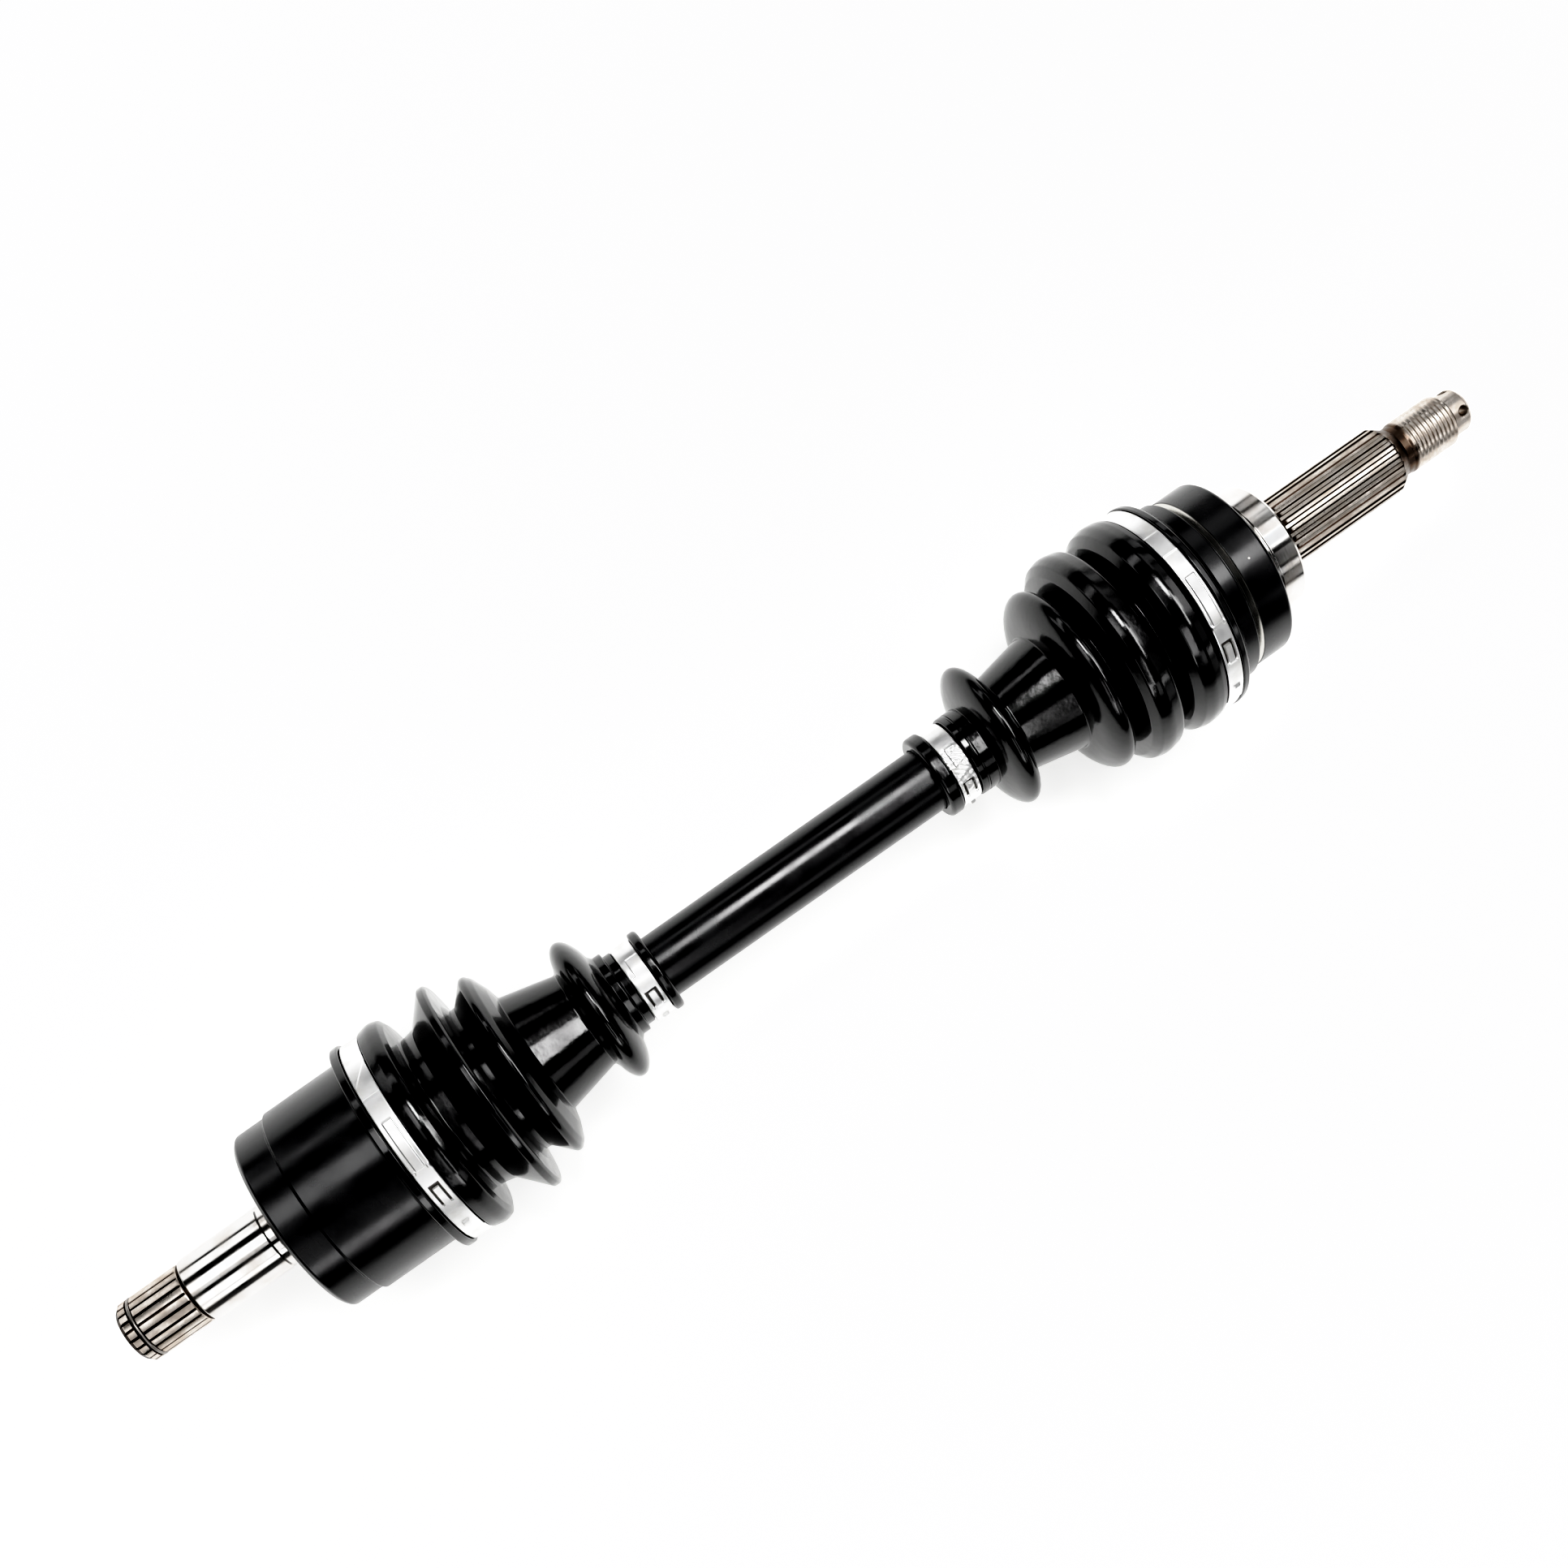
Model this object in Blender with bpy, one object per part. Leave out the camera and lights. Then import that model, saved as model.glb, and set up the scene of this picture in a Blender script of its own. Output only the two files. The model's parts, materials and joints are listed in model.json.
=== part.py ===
"""A straight CV axle for a small off-road vehicle, modelled at its real size.

It lies along X with +Z up. The gearbox end is at -X and the wheel end at +X, and the origin is the
centre of the whole axle. Lengths below are in millimetres and become metres where meshes are made.
A radius is always measured from the X axis, and an angle round the axle from +Y towards +Z.
"""

import math

import bmesh
import bpy

MM = 0.001

# Driving dimensions
HALF_LENGTH = 263.9
BAR_RADIUS = 11.1
BAR_END_RADIUS = 9.3
GAP = 0.3
BALL_COUNT = 6
TRACK_CLEARANCE = 0.9
CAGE_GAP = 0.45

# Wheel side: a fixed ball joint in a bell with a splined and threaded stub
WHEEL_CENTRE = 154.8
WHEEL_BALL_RADIUS = 6.75
WHEEL_BALL_CIRCLE = 20.8
WHEEL_BALL_SEAT = 25.1
BELL_RADIUS = 31.2
BELL_MOUTH_RADIUS = 32.4
BELL_MOUTH_X = 140.8
BELL_BACK_X = 172.3
COLLAR_RADIUS = 21.7
COLLAR_FACE_X = 185.0
WHEEL_SPLINE_RADIUS = 11.7
THREAD_RADIUS = 9.0
THREAD_END_X = 256.8
NOSE_RADIUS = 7.4
COTTER_HOLE_RADIUS = 1.6
COTTER_HOLE_X = 260.6

# Gearbox side: a plunging ball joint in a deep cup with a splined stub
GEARBOX_CENTRE = -171.0
GEARBOX_BALL_RADIUS = 7.15
GEARBOX_BALL_CIRCLE = 22.0
CUP_BORE = 25.9
CUP_RADIUS = 34.4
CUP_BACK_RADIUS = 33.35
CUP_MOUTH_X = -144.5
CUP_BACK_X = -200.6
STOP_RING_X = -147.0
STUB_RADIUS = 11.65
GEARBOX_SPLINE_RADIUS = 10.9
STUB_CLIP_X = -258.75

# Cage and race widths, as half widths from the joint's centre
CAGE_HALF_WIDTH = 10.6
WINDOW_HALF_WIDTH = 7.6
RACE_HALF_WIDTH = 9.0
RACE_CLIP_OFFSET = 10.2
BAR_END_OFFSET = 13.0

# Clamps
CLAMP_THICKNESS = 0.75
LARGE_CLAMP_RAISE = 0.9
SMALL_CLAMP_RAISE = 0.9

TURNED_SEGMENTS = 32
BAR_SEGMENTS = 24
TRACK_SEGMENTS = 48
WINDOW_SEGMENTS = 6

BLACK_PAINT = ("black_paint", (0.012, 0.012, 0.013), 0.32, 0.0)
BEARING_STEEL = ("bearing_steel", (0.62, 0.62, 0.63), 0.15, 1.0)
SPRING_STEEL = ("spring_steel", (0.20, 0.19, 0.18), 0.40, 1.0)
BOOT_RUBBER = ("boot_rubber", (0.015, 0.015, 0.015), 0.38, 0.0)
CLAMP_STEEL = ("clamp_steel", (0.70, 0.70, 0.69), 0.28, 1.0)


def clear_scene():
    for thing in list(bpy.data.objects):
        bpy.data.objects.remove(thing, do_unlink=True)


def principled(finish):
    """The material of a finish, which is (name, colour, roughness, metallic)."""
    name, colour, roughness, metallic = finish
    material = bpy.data.materials.new(name)
    material.use_nodes = True
    shader = material.node_tree.nodes["Principled BSDF"]
    shader.inputs["Base Color"].default_value = (*colour, 1.0)
    shader.inputs["Roughness"].default_value = roughness
    shader.inputs["Metallic"].default_value = metallic
    return material


def pivot(name, x, parent=None):
    """An empty on a joint's axis, at x on the axle's centreline."""
    empty = bpy.data.objects.new(name, None)
    bpy.context.scene.collection.objects.link(empty)
    empty.parent = parent
    empty.location.x = x * MM - (parent.matrix_world.translation.x if parent else 0.0)
    bpy.context.view_layer.update()
    return empty


def finish_object(name, bm, finish, holder):
    """Turns a bmesh made round x = 0 into a smooth-shaded object held by an empty."""
    bmesh.ops.recalc_face_normals(bm, faces=bm.faces)
    mesh = bpy.data.meshes.new(name)
    bm.to_mesh(mesh)
    bm.free()
    mesh.shade_smooth()
    mesh.set_sharp_from_angle(angle=math.radians(35))
    mesh.materials.append(principled(finish))
    part = bpy.data.objects.new(name, mesh)
    bpy.context.scene.collection.objects.link(part)
    part.parent = holder
    return part


def plain(outline):
    """Rows of a round body: each (x, radius) point, with a radius that's the same all round."""
    return [(x, lambda angle, r=radius: r) for x, radius in outline]


def shaped(stations, rule):
    """Rows whose radius is rule(x, angle)."""
    return [(x, lambda angle, at=x: rule(at, angle)) for x in stations]


def lathe(name, rows, finish, holder, segments=TURNED_SEGMENTS, ring=False, flats=True):
    """A body turned about X from rows of (x, radius function), in millimetres.

    A radius of 0 closes the body on the axis. A ring joins its last row to its first. With flats
    the facets, and not the edges, face straight down and sideways.
    """
    centre = holder.matrix_world.translation.x
    turn = 0.5 if flats else 0.0
    angles = [math.tau * (i + turn) / segments for i in range(segments)]
    bm = bmesh.new()
    loops = []
    for x, radius_at in rows:
        radii = [radius_at(a) for a in angles]
        if max(radii) < 1e-6:
            loops.append([bm.verts.new((x * MM - centre, 0.0, 0.0))] * segments)
            continue
        loops.append(
            [
                bm.verts.new((x * MM - centre, r * MM * math.cos(a), r * MM * math.sin(a)))
                for r, a in zip(radii, angles)
            ]
        )
    pairs = list(zip(loops, loops[1:]))
    if ring:
        pairs.append((loops[-1], loops[0]))
    for one, other in pairs:
        for i in range(segments):
            j = (i + 1) % segments
            corners = []
            for corner in (one[i], one[j], other[j], other[i]):
                if corner not in corners:
                    corners.append(corner)
            bm.faces.new(corners)
    return finish_object(name, bm, finish, holder)


def from_nearest_ball(angle):
    """How far an angle is from the nearest ball's angle, in radians."""
    pitch = math.tau / BALL_COUNT
    return (angle + pitch / 2) % pitch - pitch / 2


def curved_track(x, angle, circle, tube, outside):
    """The radius of a ball track that curves round the joint's centre, or None beside it.

    The track is the tube that a ball sweeps as its centre runs along a circle in the plane of the
    axle's axis, so the radius solves a quadratic in its square.
    """
    across = from_nearest_ball(angle)
    a = x * x + circle * circle - tube * tube
    half_b = 2 * (circle * math.cos(across)) ** 2 - a
    inside_root = half_b * half_b - (a * a - 4 * circle * circle * x * x)
    if inside_root < 0:
        return None
    squared = half_b + math.sqrt(inside_root) * (1 if outside else -1)
    return math.sqrt(squared) if squared > 0 else None


def straight_track(angle, circle, tube):
    """The outer radius of a ball track that runs straight along X, or None beside it."""
    across = from_nearest_ball(angle)
    inside_root = tube * tube - (circle * math.sin(across)) ** 2
    if inside_root < 0:
        return None
    return circle * math.cos(across) + math.sqrt(inside_root)


def sphere_radius(x, radius):
    return math.sqrt(max(radius * radius - x * x, 0.0))


def wheel_bell(holder):
    """The bell, its stub with spline and thread, and the ball tracks inside, all in one forging."""
    mouth_bore = 23.2
    floor_offset = 18.0
    tube = WHEEL_BALL_RADIUS + TRACK_CLEARANCE

    def cavity(x, angle):
        offset = x - WHEEL_CENTRE
        radius = max(sphere_radius(offset, WHEEL_BALL_SEAT), mouth_bore if offset < 0 else 0.0)
        track = curved_track(offset, angle, WHEEL_BALL_CIRCLE, tube, outside=True)
        return max(radius, track or 0.0)

    outside = [
        (HALF_LENGTH, 0.0),
        (HALF_LENGTH, 5.4),
        (HALF_LENGTH - 1.6, NOSE_RADIUS - 0.4),
        (THREAD_END_X, NOSE_RADIUS),
        (THREAD_END_X - 1.2, THREAD_RADIUS),
        (240.6, THREAD_RADIUS),
        (239.6, 8.6),
        (236.8, 8.6),
        (235.4, WHEEL_SPLINE_RADIUS - 0.3),
        (194.0, WHEEL_SPLINE_RADIUS - 0.3),
        (COLLAR_FACE_X, WHEEL_SPLINE_RADIUS + 0.3),
        (COLLAR_FACE_X, COLLAR_RADIUS - 1.2),
        (COLLAR_FACE_X - 1.2, COLLAR_RADIUS),
        (BELL_BACK_X + 0.8, COLLAR_RADIUS),
        (BELL_BACK_X, BELL_RADIUS - 1.2),
        (BELL_BACK_X - 1.2, BELL_RADIUS),
        (160.4, BELL_RADIUS),
        (159.8, 29.7),
        (158.8, 29.7),
        (158.2, BELL_MOUTH_RADIUS - 0.4),
        (BELL_MOUTH_X + 1.2, BELL_MOUTH_RADIUS),
        (BELL_MOUTH_X, BELL_MOUTH_RADIUS - 1.0),
    ]
    stations = [WHEEL_CENTRE + d for d in (-14.0, -9.6, -4.8, 0.0, 4.8, 9.2, 12.6, 15.2)]
    floor = [(WHEEL_CENTRE + floor_offset, 17.4), (WHEEL_CENTRE + floor_offset + 1.5, 0.0)]
    rows = plain(outside) + shaped(stations, cavity) + plain(floor)
    bell = lathe(
        "wheel_joint_bell", rows, BLACK_PAINT, holder, segments=TRACK_SEGMENTS, flats=False
    )
    for number, angle in enumerate((105.0, 15.0), start=1):
        drill(bell, f"cotter_drill_{number}", COTTER_HOLE_X, COTTER_HOLE_RADIUS, angle)
    return bell


def drill(body, name, x, radius, angle):
    """Cuts a hole right across the body at x. Its direction is an angle round the axle, in degrees."""
    length = 24.0
    bm = bmesh.new()
    bmesh.ops.create_cone(
        bm,
        cap_ends=True,
        segments=12,
        radius1=radius * MM,
        radius2=radius * MM,
        depth=length * MM,
    )
    mesh = bpy.data.meshes.new(name)
    bm.to_mesh(mesh)
    bm.free()
    cutter = bpy.data.objects.new(name, mesh)
    bpy.context.scene.collection.objects.link(cutter)
    cutter.location.x = x * MM
    cutter.rotation_euler.x = math.radians(angle - 90.0)
    cutter.hide_render = True
    cutter.display_type = "WIRE"
    cut = body.modifiers.new(name, "BOOLEAN")
    cut.operation = "DIFFERENCE"
    cut.object = cutter


def gearbox_cup(holder):
    """The deep cup, its splined stub and the straight ball tracks in its bore, in one forging."""
    tube = GEARBOX_BALL_RADIUS + TRACK_CLEARANCE
    floor_x = -195.0
    groove_radius = 27.2
    groove_half_width = 1.1

    def bore(x, angle):
        track = straight_track(angle, GEARBOX_BALL_CIRCLE, tube)
        in_groove = abs(x - STOP_RING_X) < groove_half_width
        return max(groove_radius if in_groove else CUP_BORE, track or 0.0)

    outside = [
        (-HALF_LENGTH, 0.0),
        (-HALF_LENGTH, 9.5),
        (-262.6, GEARBOX_SPLINE_RADIUS),
        (STUB_CLIP_X - 0.95, GEARBOX_SPLINE_RADIUS),
        (STUB_CLIP_X - 0.95, 9.3),
        (STUB_CLIP_X + 0.95, 9.3),
        (STUB_CLIP_X + 0.95, GEARBOX_SPLINE_RADIUS - 0.3),
        (-240.4, GEARBOX_SPLINE_RADIUS - 0.3),
        (-239.6, 10.5),
        (-238.8, STUB_RADIUS),
        (-208.6, STUB_RADIUS),
        (-208.2, 11.3),
        (-205.6, 11.3),
        (-204.8, 13.2),
        (CUP_BACK_X, CUP_BACK_RADIUS - 1.2),
        (CUP_BACK_X + 1.2, CUP_BACK_RADIUS),
        (-188.7, CUP_BACK_RADIUS),
        (-187.8, CUP_RADIUS),
        (CUP_MOUTH_X - 1.0, CUP_RADIUS),
        (CUP_MOUTH_X, CUP_RADIUS - 1.0),
    ]
    groove = [STOP_RING_X + side * groove_half_width for side in (1.02, 0.98, -0.98, -1.02)]
    stations = [CUP_MOUTH_X, *groove, -170.0, floor_x + 3.0]
    floor = [(floor_x, 24.0), (floor_x, 14.0), (floor_x - 2.5, 11.0), (floor_x - 2.5, 0.0)]
    rows = plain(outside) + shaped(stations, bore) + plain(floor)
    return lathe(
        "gearbox_joint_cup", rows, BLACK_PAINT, holder, segments=TRACK_SEGMENTS, flats=False
    )


def race(name, centre, circle, ball_radius, surface, holder):
    """An inner race: a barrel with a curved track for each ball and a bore for the bar's end."""
    bore = BAR_END_RADIUS + GAP
    tube = ball_radius + TRACK_CLEARANCE

    def outside(x, angle):
        offset = x - centre
        track = curved_track(offset, angle, circle, tube, outside=False)
        return min(sphere_radius(offset, surface), track or surface)

    edges = (-1.0, -0.66, -0.33, 0.0, 0.33, 0.66, 1.0)
    stations = [centre + RACE_HALF_WIDTH * share for share in edges]
    bore_rows = plain(
        [(centre + RACE_HALF_WIDTH, bore), (centre - RACE_HALF_WIDTH, bore)]
    )
    return lathe(
        name,
        shaped(stations, outside) + bore_rows,
        BEARING_STEEL,
        holder,
        segments=TRACK_SEGMENTS,
        ring=True,
        flats=False,
    )


def cage(name, inner, outer, holder):
    """A ball cage: a band between two spheres with a window for each ball."""
    stations = [
        -CAGE_HALF_WIDTH,
        -WINDOW_HALF_WIDTH,
        0.0,
        WINDOW_HALF_WIDTH,
        CAGE_HALF_WIDTH,
    ]
    pitch = TRACK_SEGMENTS // BALL_COUNT
    first = -(WINDOW_SEGMENTS // 2)

    def is_open(row, column):
        in_window = (column - first) % pitch < WINDOW_SEGMENTS
        return row in (1, 2) and in_window

    bm = bmesh.new()
    layers = []
    for surface in (inner, outer):
        layer = []
        for x in stations:
            r = sphere_radius(x, surface) * MM
            layer.append(
                [
                    bm.verts.new((x * MM, r * math.cos(a), r * math.sin(a)))
                    for a in (math.tau * i / TRACK_SEGMENTS for i in range(TRACK_SEGMENTS))
                ]
            )
        layers.append(layer)
    inside, outside = layers
    row_count = len(stations) - 1

    def solid(row, column):
        return 0 <= row < row_count and not is_open(row, column)

    for row in range(row_count):
        for i in range(TRACK_SEGMENTS):
            if not solid(row, i):
                continue
            j = (i + 1) % TRACK_SEGMENTS
            for layer in layers:
                bm.faces.new((layer[row][i], layer[row][j], layer[row + 1][j], layer[row + 1][i]))
            walls = [
                (solid(row - 1, i), (row, i), (row, j)),
                (solid(row + 1, i), (row + 1, i), (row + 1, j)),
                (solid(row, i - 1), (row, i), (row + 1, i)),
                (solid(row, j), (row, j), (row + 1, j)),
            ]
            for joined, (row_a, col_a), (row_b, col_b) in walls:
                if not joined:
                    bm.faces.new(
                        (
                            inside[row_a][col_a],
                            inside[row_b][col_b],
                            outside[row_b][col_b],
                            outside[row_a][col_a],
                        )
                    )
    loose = [v for v in bm.verts if not v.link_faces]
    bmesh.ops.delete(bm, geom=loose, context="VERTS")
    return finish_object(name, bm, BEARING_STEEL, holder)


def balls(side, circle, radius, holder):
    """The joint's balls, each its own object, spaced evenly round the axle."""
    for number in range(BALL_COUNT):
        angle = math.tau * number / BALL_COUNT
        bm = bmesh.new()
        bmesh.ops.create_uvsphere(bm, u_segments=12, v_segments=8, radius=radius * MM)
        ball = finish_object(f"{side}_joint_ball_{number + 1}", bm, BEARING_STEEL, holder)
        ball.location = (0.0, circle * MM * math.cos(angle), circle * MM * math.sin(angle))


def split_ring(name, x, section, gap_degrees, gap_at, holder, steps=24):
    """An open ring: its section, a list of (offset along X, radius), swept round to a gap."""
    centre = holder.matrix_world.translation.x
    start = math.radians(gap_at + gap_degrees / 2)
    sweep = math.radians(360.0 - gap_degrees)
    bm = bmesh.new()
    loops = []
    for step in range(steps + 1):
        a = start + sweep * step / steps
        loops.append(
            [
                bm.verts.new(
                    ((x + dx) * MM - centre, r * MM * math.cos(a), r * MM * math.sin(a))
                )
                for dx, r in section
            ]
        )
    count = len(section)
    for one, other in zip(loops, loops[1:]):
        for i in range(count):
            j = (i + 1) % count
            bm.faces.new((one[i], one[j], other[j], other[i]))
    bm.faces.new(loops[0])
    bm.faces.new(loops[-1])
    return finish_object(name, bm, SPRING_STEEL, holder)


def flat_section(half_width, inner, outer):
    return [
        (-half_width, inner),
        (half_width, inner),
        (half_width, outer),
        (-half_width, outer),
    ]


def wire_section(wire_radius, ring_radius, sides=6):
    """The section of a ring bent from round wire."""
    return [
        (
            wire_radius * math.cos(math.tau * i / sides),
            ring_radius + wire_radius * math.sin(math.tau * i / sides),
        )
        for i in range(sides)
    ]


def axle_bar(holder):
    """The bar between the joints, with a reduced seat, shoulder and clip groove at each end."""
    groove_radius = 8.3
    groove_half_width = 0.9
    neck = 26.0
    taper = 5.0

    def end(centre, outward):
        """The end's outline from its tip inwards. outward is +1 at the wheel end."""
        offsets = [
            (BAR_END_OFFSET, 0.0),
            (BAR_END_OFFSET, BAR_END_RADIUS - 1.0),
            (BAR_END_OFFSET - 1.0, BAR_END_RADIUS),
            (RACE_CLIP_OFFSET + groove_half_width, BAR_END_RADIUS),
            (RACE_CLIP_OFFSET + groove_half_width, groove_radius),
            (RACE_CLIP_OFFSET - groove_half_width, groove_radius),
            (RACE_CLIP_OFFSET - groove_half_width, BAR_END_RADIUS),
            (-neck, BAR_END_RADIUS),
            (-neck - taper, BAR_RADIUS),
        ]
        return [(centre + outward * offset, radius) for offset, radius in offsets]

    outline = end(WHEEL_CENTRE, 1) + end(GEARBOX_CENTRE, -1)[::-1]
    return lathe("axle_bar", plain(outline), BLACK_PAINT, holder, segments=BAR_SEGMENTS)


def gearbox_boot(holder):
    """The bellows on the gearbox side, as one closed wall from its small end to its large end."""
    small_seat = BAR_RADIUS + GAP
    large_seat = CUP_RADIUS + GAP
    outside = [
        (-56.4, 14.7),
        (-59.6, 14.9),
        (-59.8, 12.7),
        (-67.2, 12.7),
        (-67.4, 14.2),
        (-73.6, 14.6),
        (-76.6, 23.4),
        (-79.9, 25.8),
        (-83.2, 23.4),
        (-86.0, 17.6),
        (-105.4, 21.8),
        (-107.2, 32.2),
        (-110.9, 34.1),
        (-117.2, 27.0),
        (-120.6, 27.0),
        (-122.6, 38.2),
        (-124.6, 38.9),
        (-132.6, 28.8),
        (-138.6, 28.8),
        (-140.0, 37.4),
        (-141.8, 38.9),
        (-148.3, 38.9),
        (-148.5, 36.8),
        (-155.9, 36.8),
        (-156.1, 38.6),
        (-159.4, 38.6),
        (-159.9, 37.9),
    ]
    inside = [
        (-159.9, large_seat),
        (-144.0, large_seat),
        (-140.6, 26.8),
        (-134.0, 26.8),
        (-124.2, 36.6),
        (-119.2, 25.0),
        (-110.8, 32.0),
        (-104.0, 19.6),
        (-86.8, 15.6),
        (-79.9, 23.8),
        (-72.4, 12.4),
        (-67.0, small_seat),
        (-56.4, small_seat),
    ]
    return lathe("gearbox_boot", plain(outside + inside), BOOT_RUBBER, holder, ring=True)


def wheel_boot(holder):
    """The bellows on the wheel side, as one closed wall from its small end to its large end."""
    small_seat = BAR_RADIUS + GAP
    large_seat = BELL_MOUTH_RADIUS + GAP
    outside = [
        (50.0, 14.7),
        (54.6, 14.9),
        (54.8, 12.7),
        (62.2, 12.7),
        (62.4, 14.2),
        (69.4, 14.5),
        (72.6, 23.4),
        (75.7, 25.7),
        (78.9, 23.4),
        (81.8, 17.6),
        (99.5, 21.0),
        (104.4, 29.4),
        (107.8, 32.9),
        (110.6, 31.4),
        (113.6, 27.8),
        (117.2, 34.8),
        (120.2, 37.7),
        (123.4, 36.4),
        (129.7, 29.1),
        (134.6, 35.2),
        (137.8, 37.3),
        (141.1, 37.3),
        (141.3, 36.0),
        (147.5, 36.0),
        (147.7, 37.3),
        (150.2, 37.0),
        (151.9, 33.6),
    ]
    inside = [
        (151.9, large_seat),
        (140.3, large_seat),
        (137.4, 35.2),
        (129.7, 27.0),
        (120.4, 35.6),
        (113.6, 25.8),
        (107.8, 30.8),
        (100.0, 19.0),
        (82.6, 15.6),
        (75.7, 23.7),
        (68.2, 12.4),
        (62.8, small_seat),
        (50.0, small_seat),
    ]
    return lathe("wheel_boot", plain(outside + inside), BOOT_RUBBER, holder, ring=True)


def clamp(name, low_x, high_x, seat, raise_height, tunnel, holder):
    """A boot clamp: a thin band with the raised tunnel of its lock between two angles, in degrees."""
    inner = seat + GAP
    outer = inner + CLAMP_THICKNESS
    first, last = (math.radians(angle) for angle in tunnel)

    def band(angle):
        return outer + (raise_height if first <= angle <= last else 0.0)

    rows = [
        (low_x, lambda angle: inner),
        (low_x, band),
        (high_x, band),
        (high_x, lambda angle: inner),
    ]
    return lathe(name, rows, CLAMP_STEEL, holder, ring=True)


def build():
    clear_scene()
    shaft = pivot("shaft", 0.0)
    wheel_tilt = pivot("wheel_tilt_axis", WHEEL_CENTRE, shaft)
    wheel_cage_tilt = pivot("wheel_cage_tilt_axis", WHEEL_CENTRE, shaft)
    gearbox_tilt = pivot("gearbox_tilt_axis", GEARBOX_CENTRE, shaft)
    gearbox_cage_tilt = pivot("gearbox_cage_tilt_axis", GEARBOX_CENTRE, shaft)
    gearbox_plunge = pivot("gearbox_plunge_axis", GEARBOX_CENTRE, gearbox_tilt)

    axle_bar(shaft)
    race_surface = {"wheel": 18.2, "gearbox": 19.0}
    cup_cage_surface = CUP_BORE - CAGE_GAP
    bell_cage_surface = WHEEL_BALL_SEAT - CAGE_GAP
    race(
        "wheel_joint_race",
        WHEEL_CENTRE,
        WHEEL_BALL_CIRCLE,
        WHEEL_BALL_RADIUS,
        race_surface["wheel"],
        shaft,
    )
    race(
        "gearbox_joint_race",
        GEARBOX_CENTRE,
        GEARBOX_BALL_CIRCLE,
        GEARBOX_BALL_RADIUS,
        race_surface["gearbox"],
        shaft,
    )
    race_clip = flat_section(0.6, 8.6, 10.7)
    split_ring(
        "wheel_race_circlip", WHEEL_CENTRE + RACE_CLIP_OFFSET, race_clip, 24.0, 200.0, shaft
    )
    split_ring(
        "gearbox_race_circlip", GEARBOX_CENTRE - RACE_CLIP_OFFSET, race_clip, 24.0, 200.0, shaft
    )

    wheel_bell(wheel_tilt)
    wheel_boot(wheel_tilt)
    cage(
        "wheel_joint_cage",
        race_surface["wheel"] + CAGE_GAP,
        bell_cage_surface,
        wheel_cage_tilt,
    )
    balls("wheel", WHEEL_BALL_CIRCLE, WHEEL_BALL_RADIUS, wheel_cage_tilt)

    gearbox_boot(gearbox_tilt)
    gearbox_cup(gearbox_plunge)
    split_ring(
        "gearbox_cup_stop_ring",
        STOP_RING_X,
        wire_section(0.8, 26.05),
        30.0,
        270.0,
        gearbox_plunge,
    )
    split_ring(
        "gearbox_stub_circlip",
        STUB_CLIP_X,
        wire_section(0.65, 10.35),
        30.0,
        250.0,
        gearbox_plunge,
    )
    cage(
        "gearbox_joint_cage",
        race_surface["gearbox"] + CAGE_GAP,
        cup_cage_surface,
        gearbox_cage_tilt,
    )
    balls("gearbox", GEARBOX_BALL_CIRCLE, GEARBOX_BALL_RADIUS, gearbox_cage_tilt)

    large = (LARGE_CLAMP_RAISE, (72.0, 98.0))
    small = (SMALL_CLAMP_RAISE, (95.0, 130.0))
    clamp("wheel_boot_large_clamp", 141.6, 147.2, 36.0, *large, wheel_tilt)
    clamp("wheel_boot_small_clamp", 55.2, 61.8, 12.7, *small, shaft)
    clamp("gearbox_boot_large_clamp", -155.6, -148.8, 36.8, *large, gearbox_plunge)
    clamp("gearbox_boot_small_clamp", -66.9, -60.1, 12.7, *small, shaft)


build()
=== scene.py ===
"""The looks of the CV axle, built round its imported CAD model.

Lengths are in millimetres in the axle's own frame and become metres where meshes are made. The
axle lies along X with its gearbox end at -X, +Z is up, and the origin is its centre. A radius is
measured from the X axis, and an angle round the axle from straight up towards +Y.
"""

import json
import math

import bmesh
import bpy
import numpy as np
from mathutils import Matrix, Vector


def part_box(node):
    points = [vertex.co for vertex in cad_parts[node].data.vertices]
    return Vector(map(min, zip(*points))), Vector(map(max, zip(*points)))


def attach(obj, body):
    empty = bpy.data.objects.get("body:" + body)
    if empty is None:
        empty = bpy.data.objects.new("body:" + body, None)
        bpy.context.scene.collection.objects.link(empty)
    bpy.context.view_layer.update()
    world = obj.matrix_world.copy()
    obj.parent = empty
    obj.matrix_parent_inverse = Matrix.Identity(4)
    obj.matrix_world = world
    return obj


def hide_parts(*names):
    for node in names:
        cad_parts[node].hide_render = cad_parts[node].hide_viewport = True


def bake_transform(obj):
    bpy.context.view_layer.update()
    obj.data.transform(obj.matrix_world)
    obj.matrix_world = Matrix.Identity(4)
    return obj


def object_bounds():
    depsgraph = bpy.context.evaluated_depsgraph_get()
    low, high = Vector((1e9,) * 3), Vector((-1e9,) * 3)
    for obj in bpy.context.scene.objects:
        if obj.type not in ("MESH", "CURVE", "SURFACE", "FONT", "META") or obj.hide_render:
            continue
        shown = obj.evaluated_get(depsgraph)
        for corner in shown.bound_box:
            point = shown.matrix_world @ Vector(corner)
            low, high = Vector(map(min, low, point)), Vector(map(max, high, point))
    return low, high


MM = 0.001
TURN = 2 * math.pi
COLUMNS = 144
BALL_COUNT = 6
COLUMNS_PER_BALL = 24
ARC_STEP = math.radians(9)
SHARP_ANGLE = math.radians(32)
MERGE_DISTANCE = 1e-6

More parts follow.
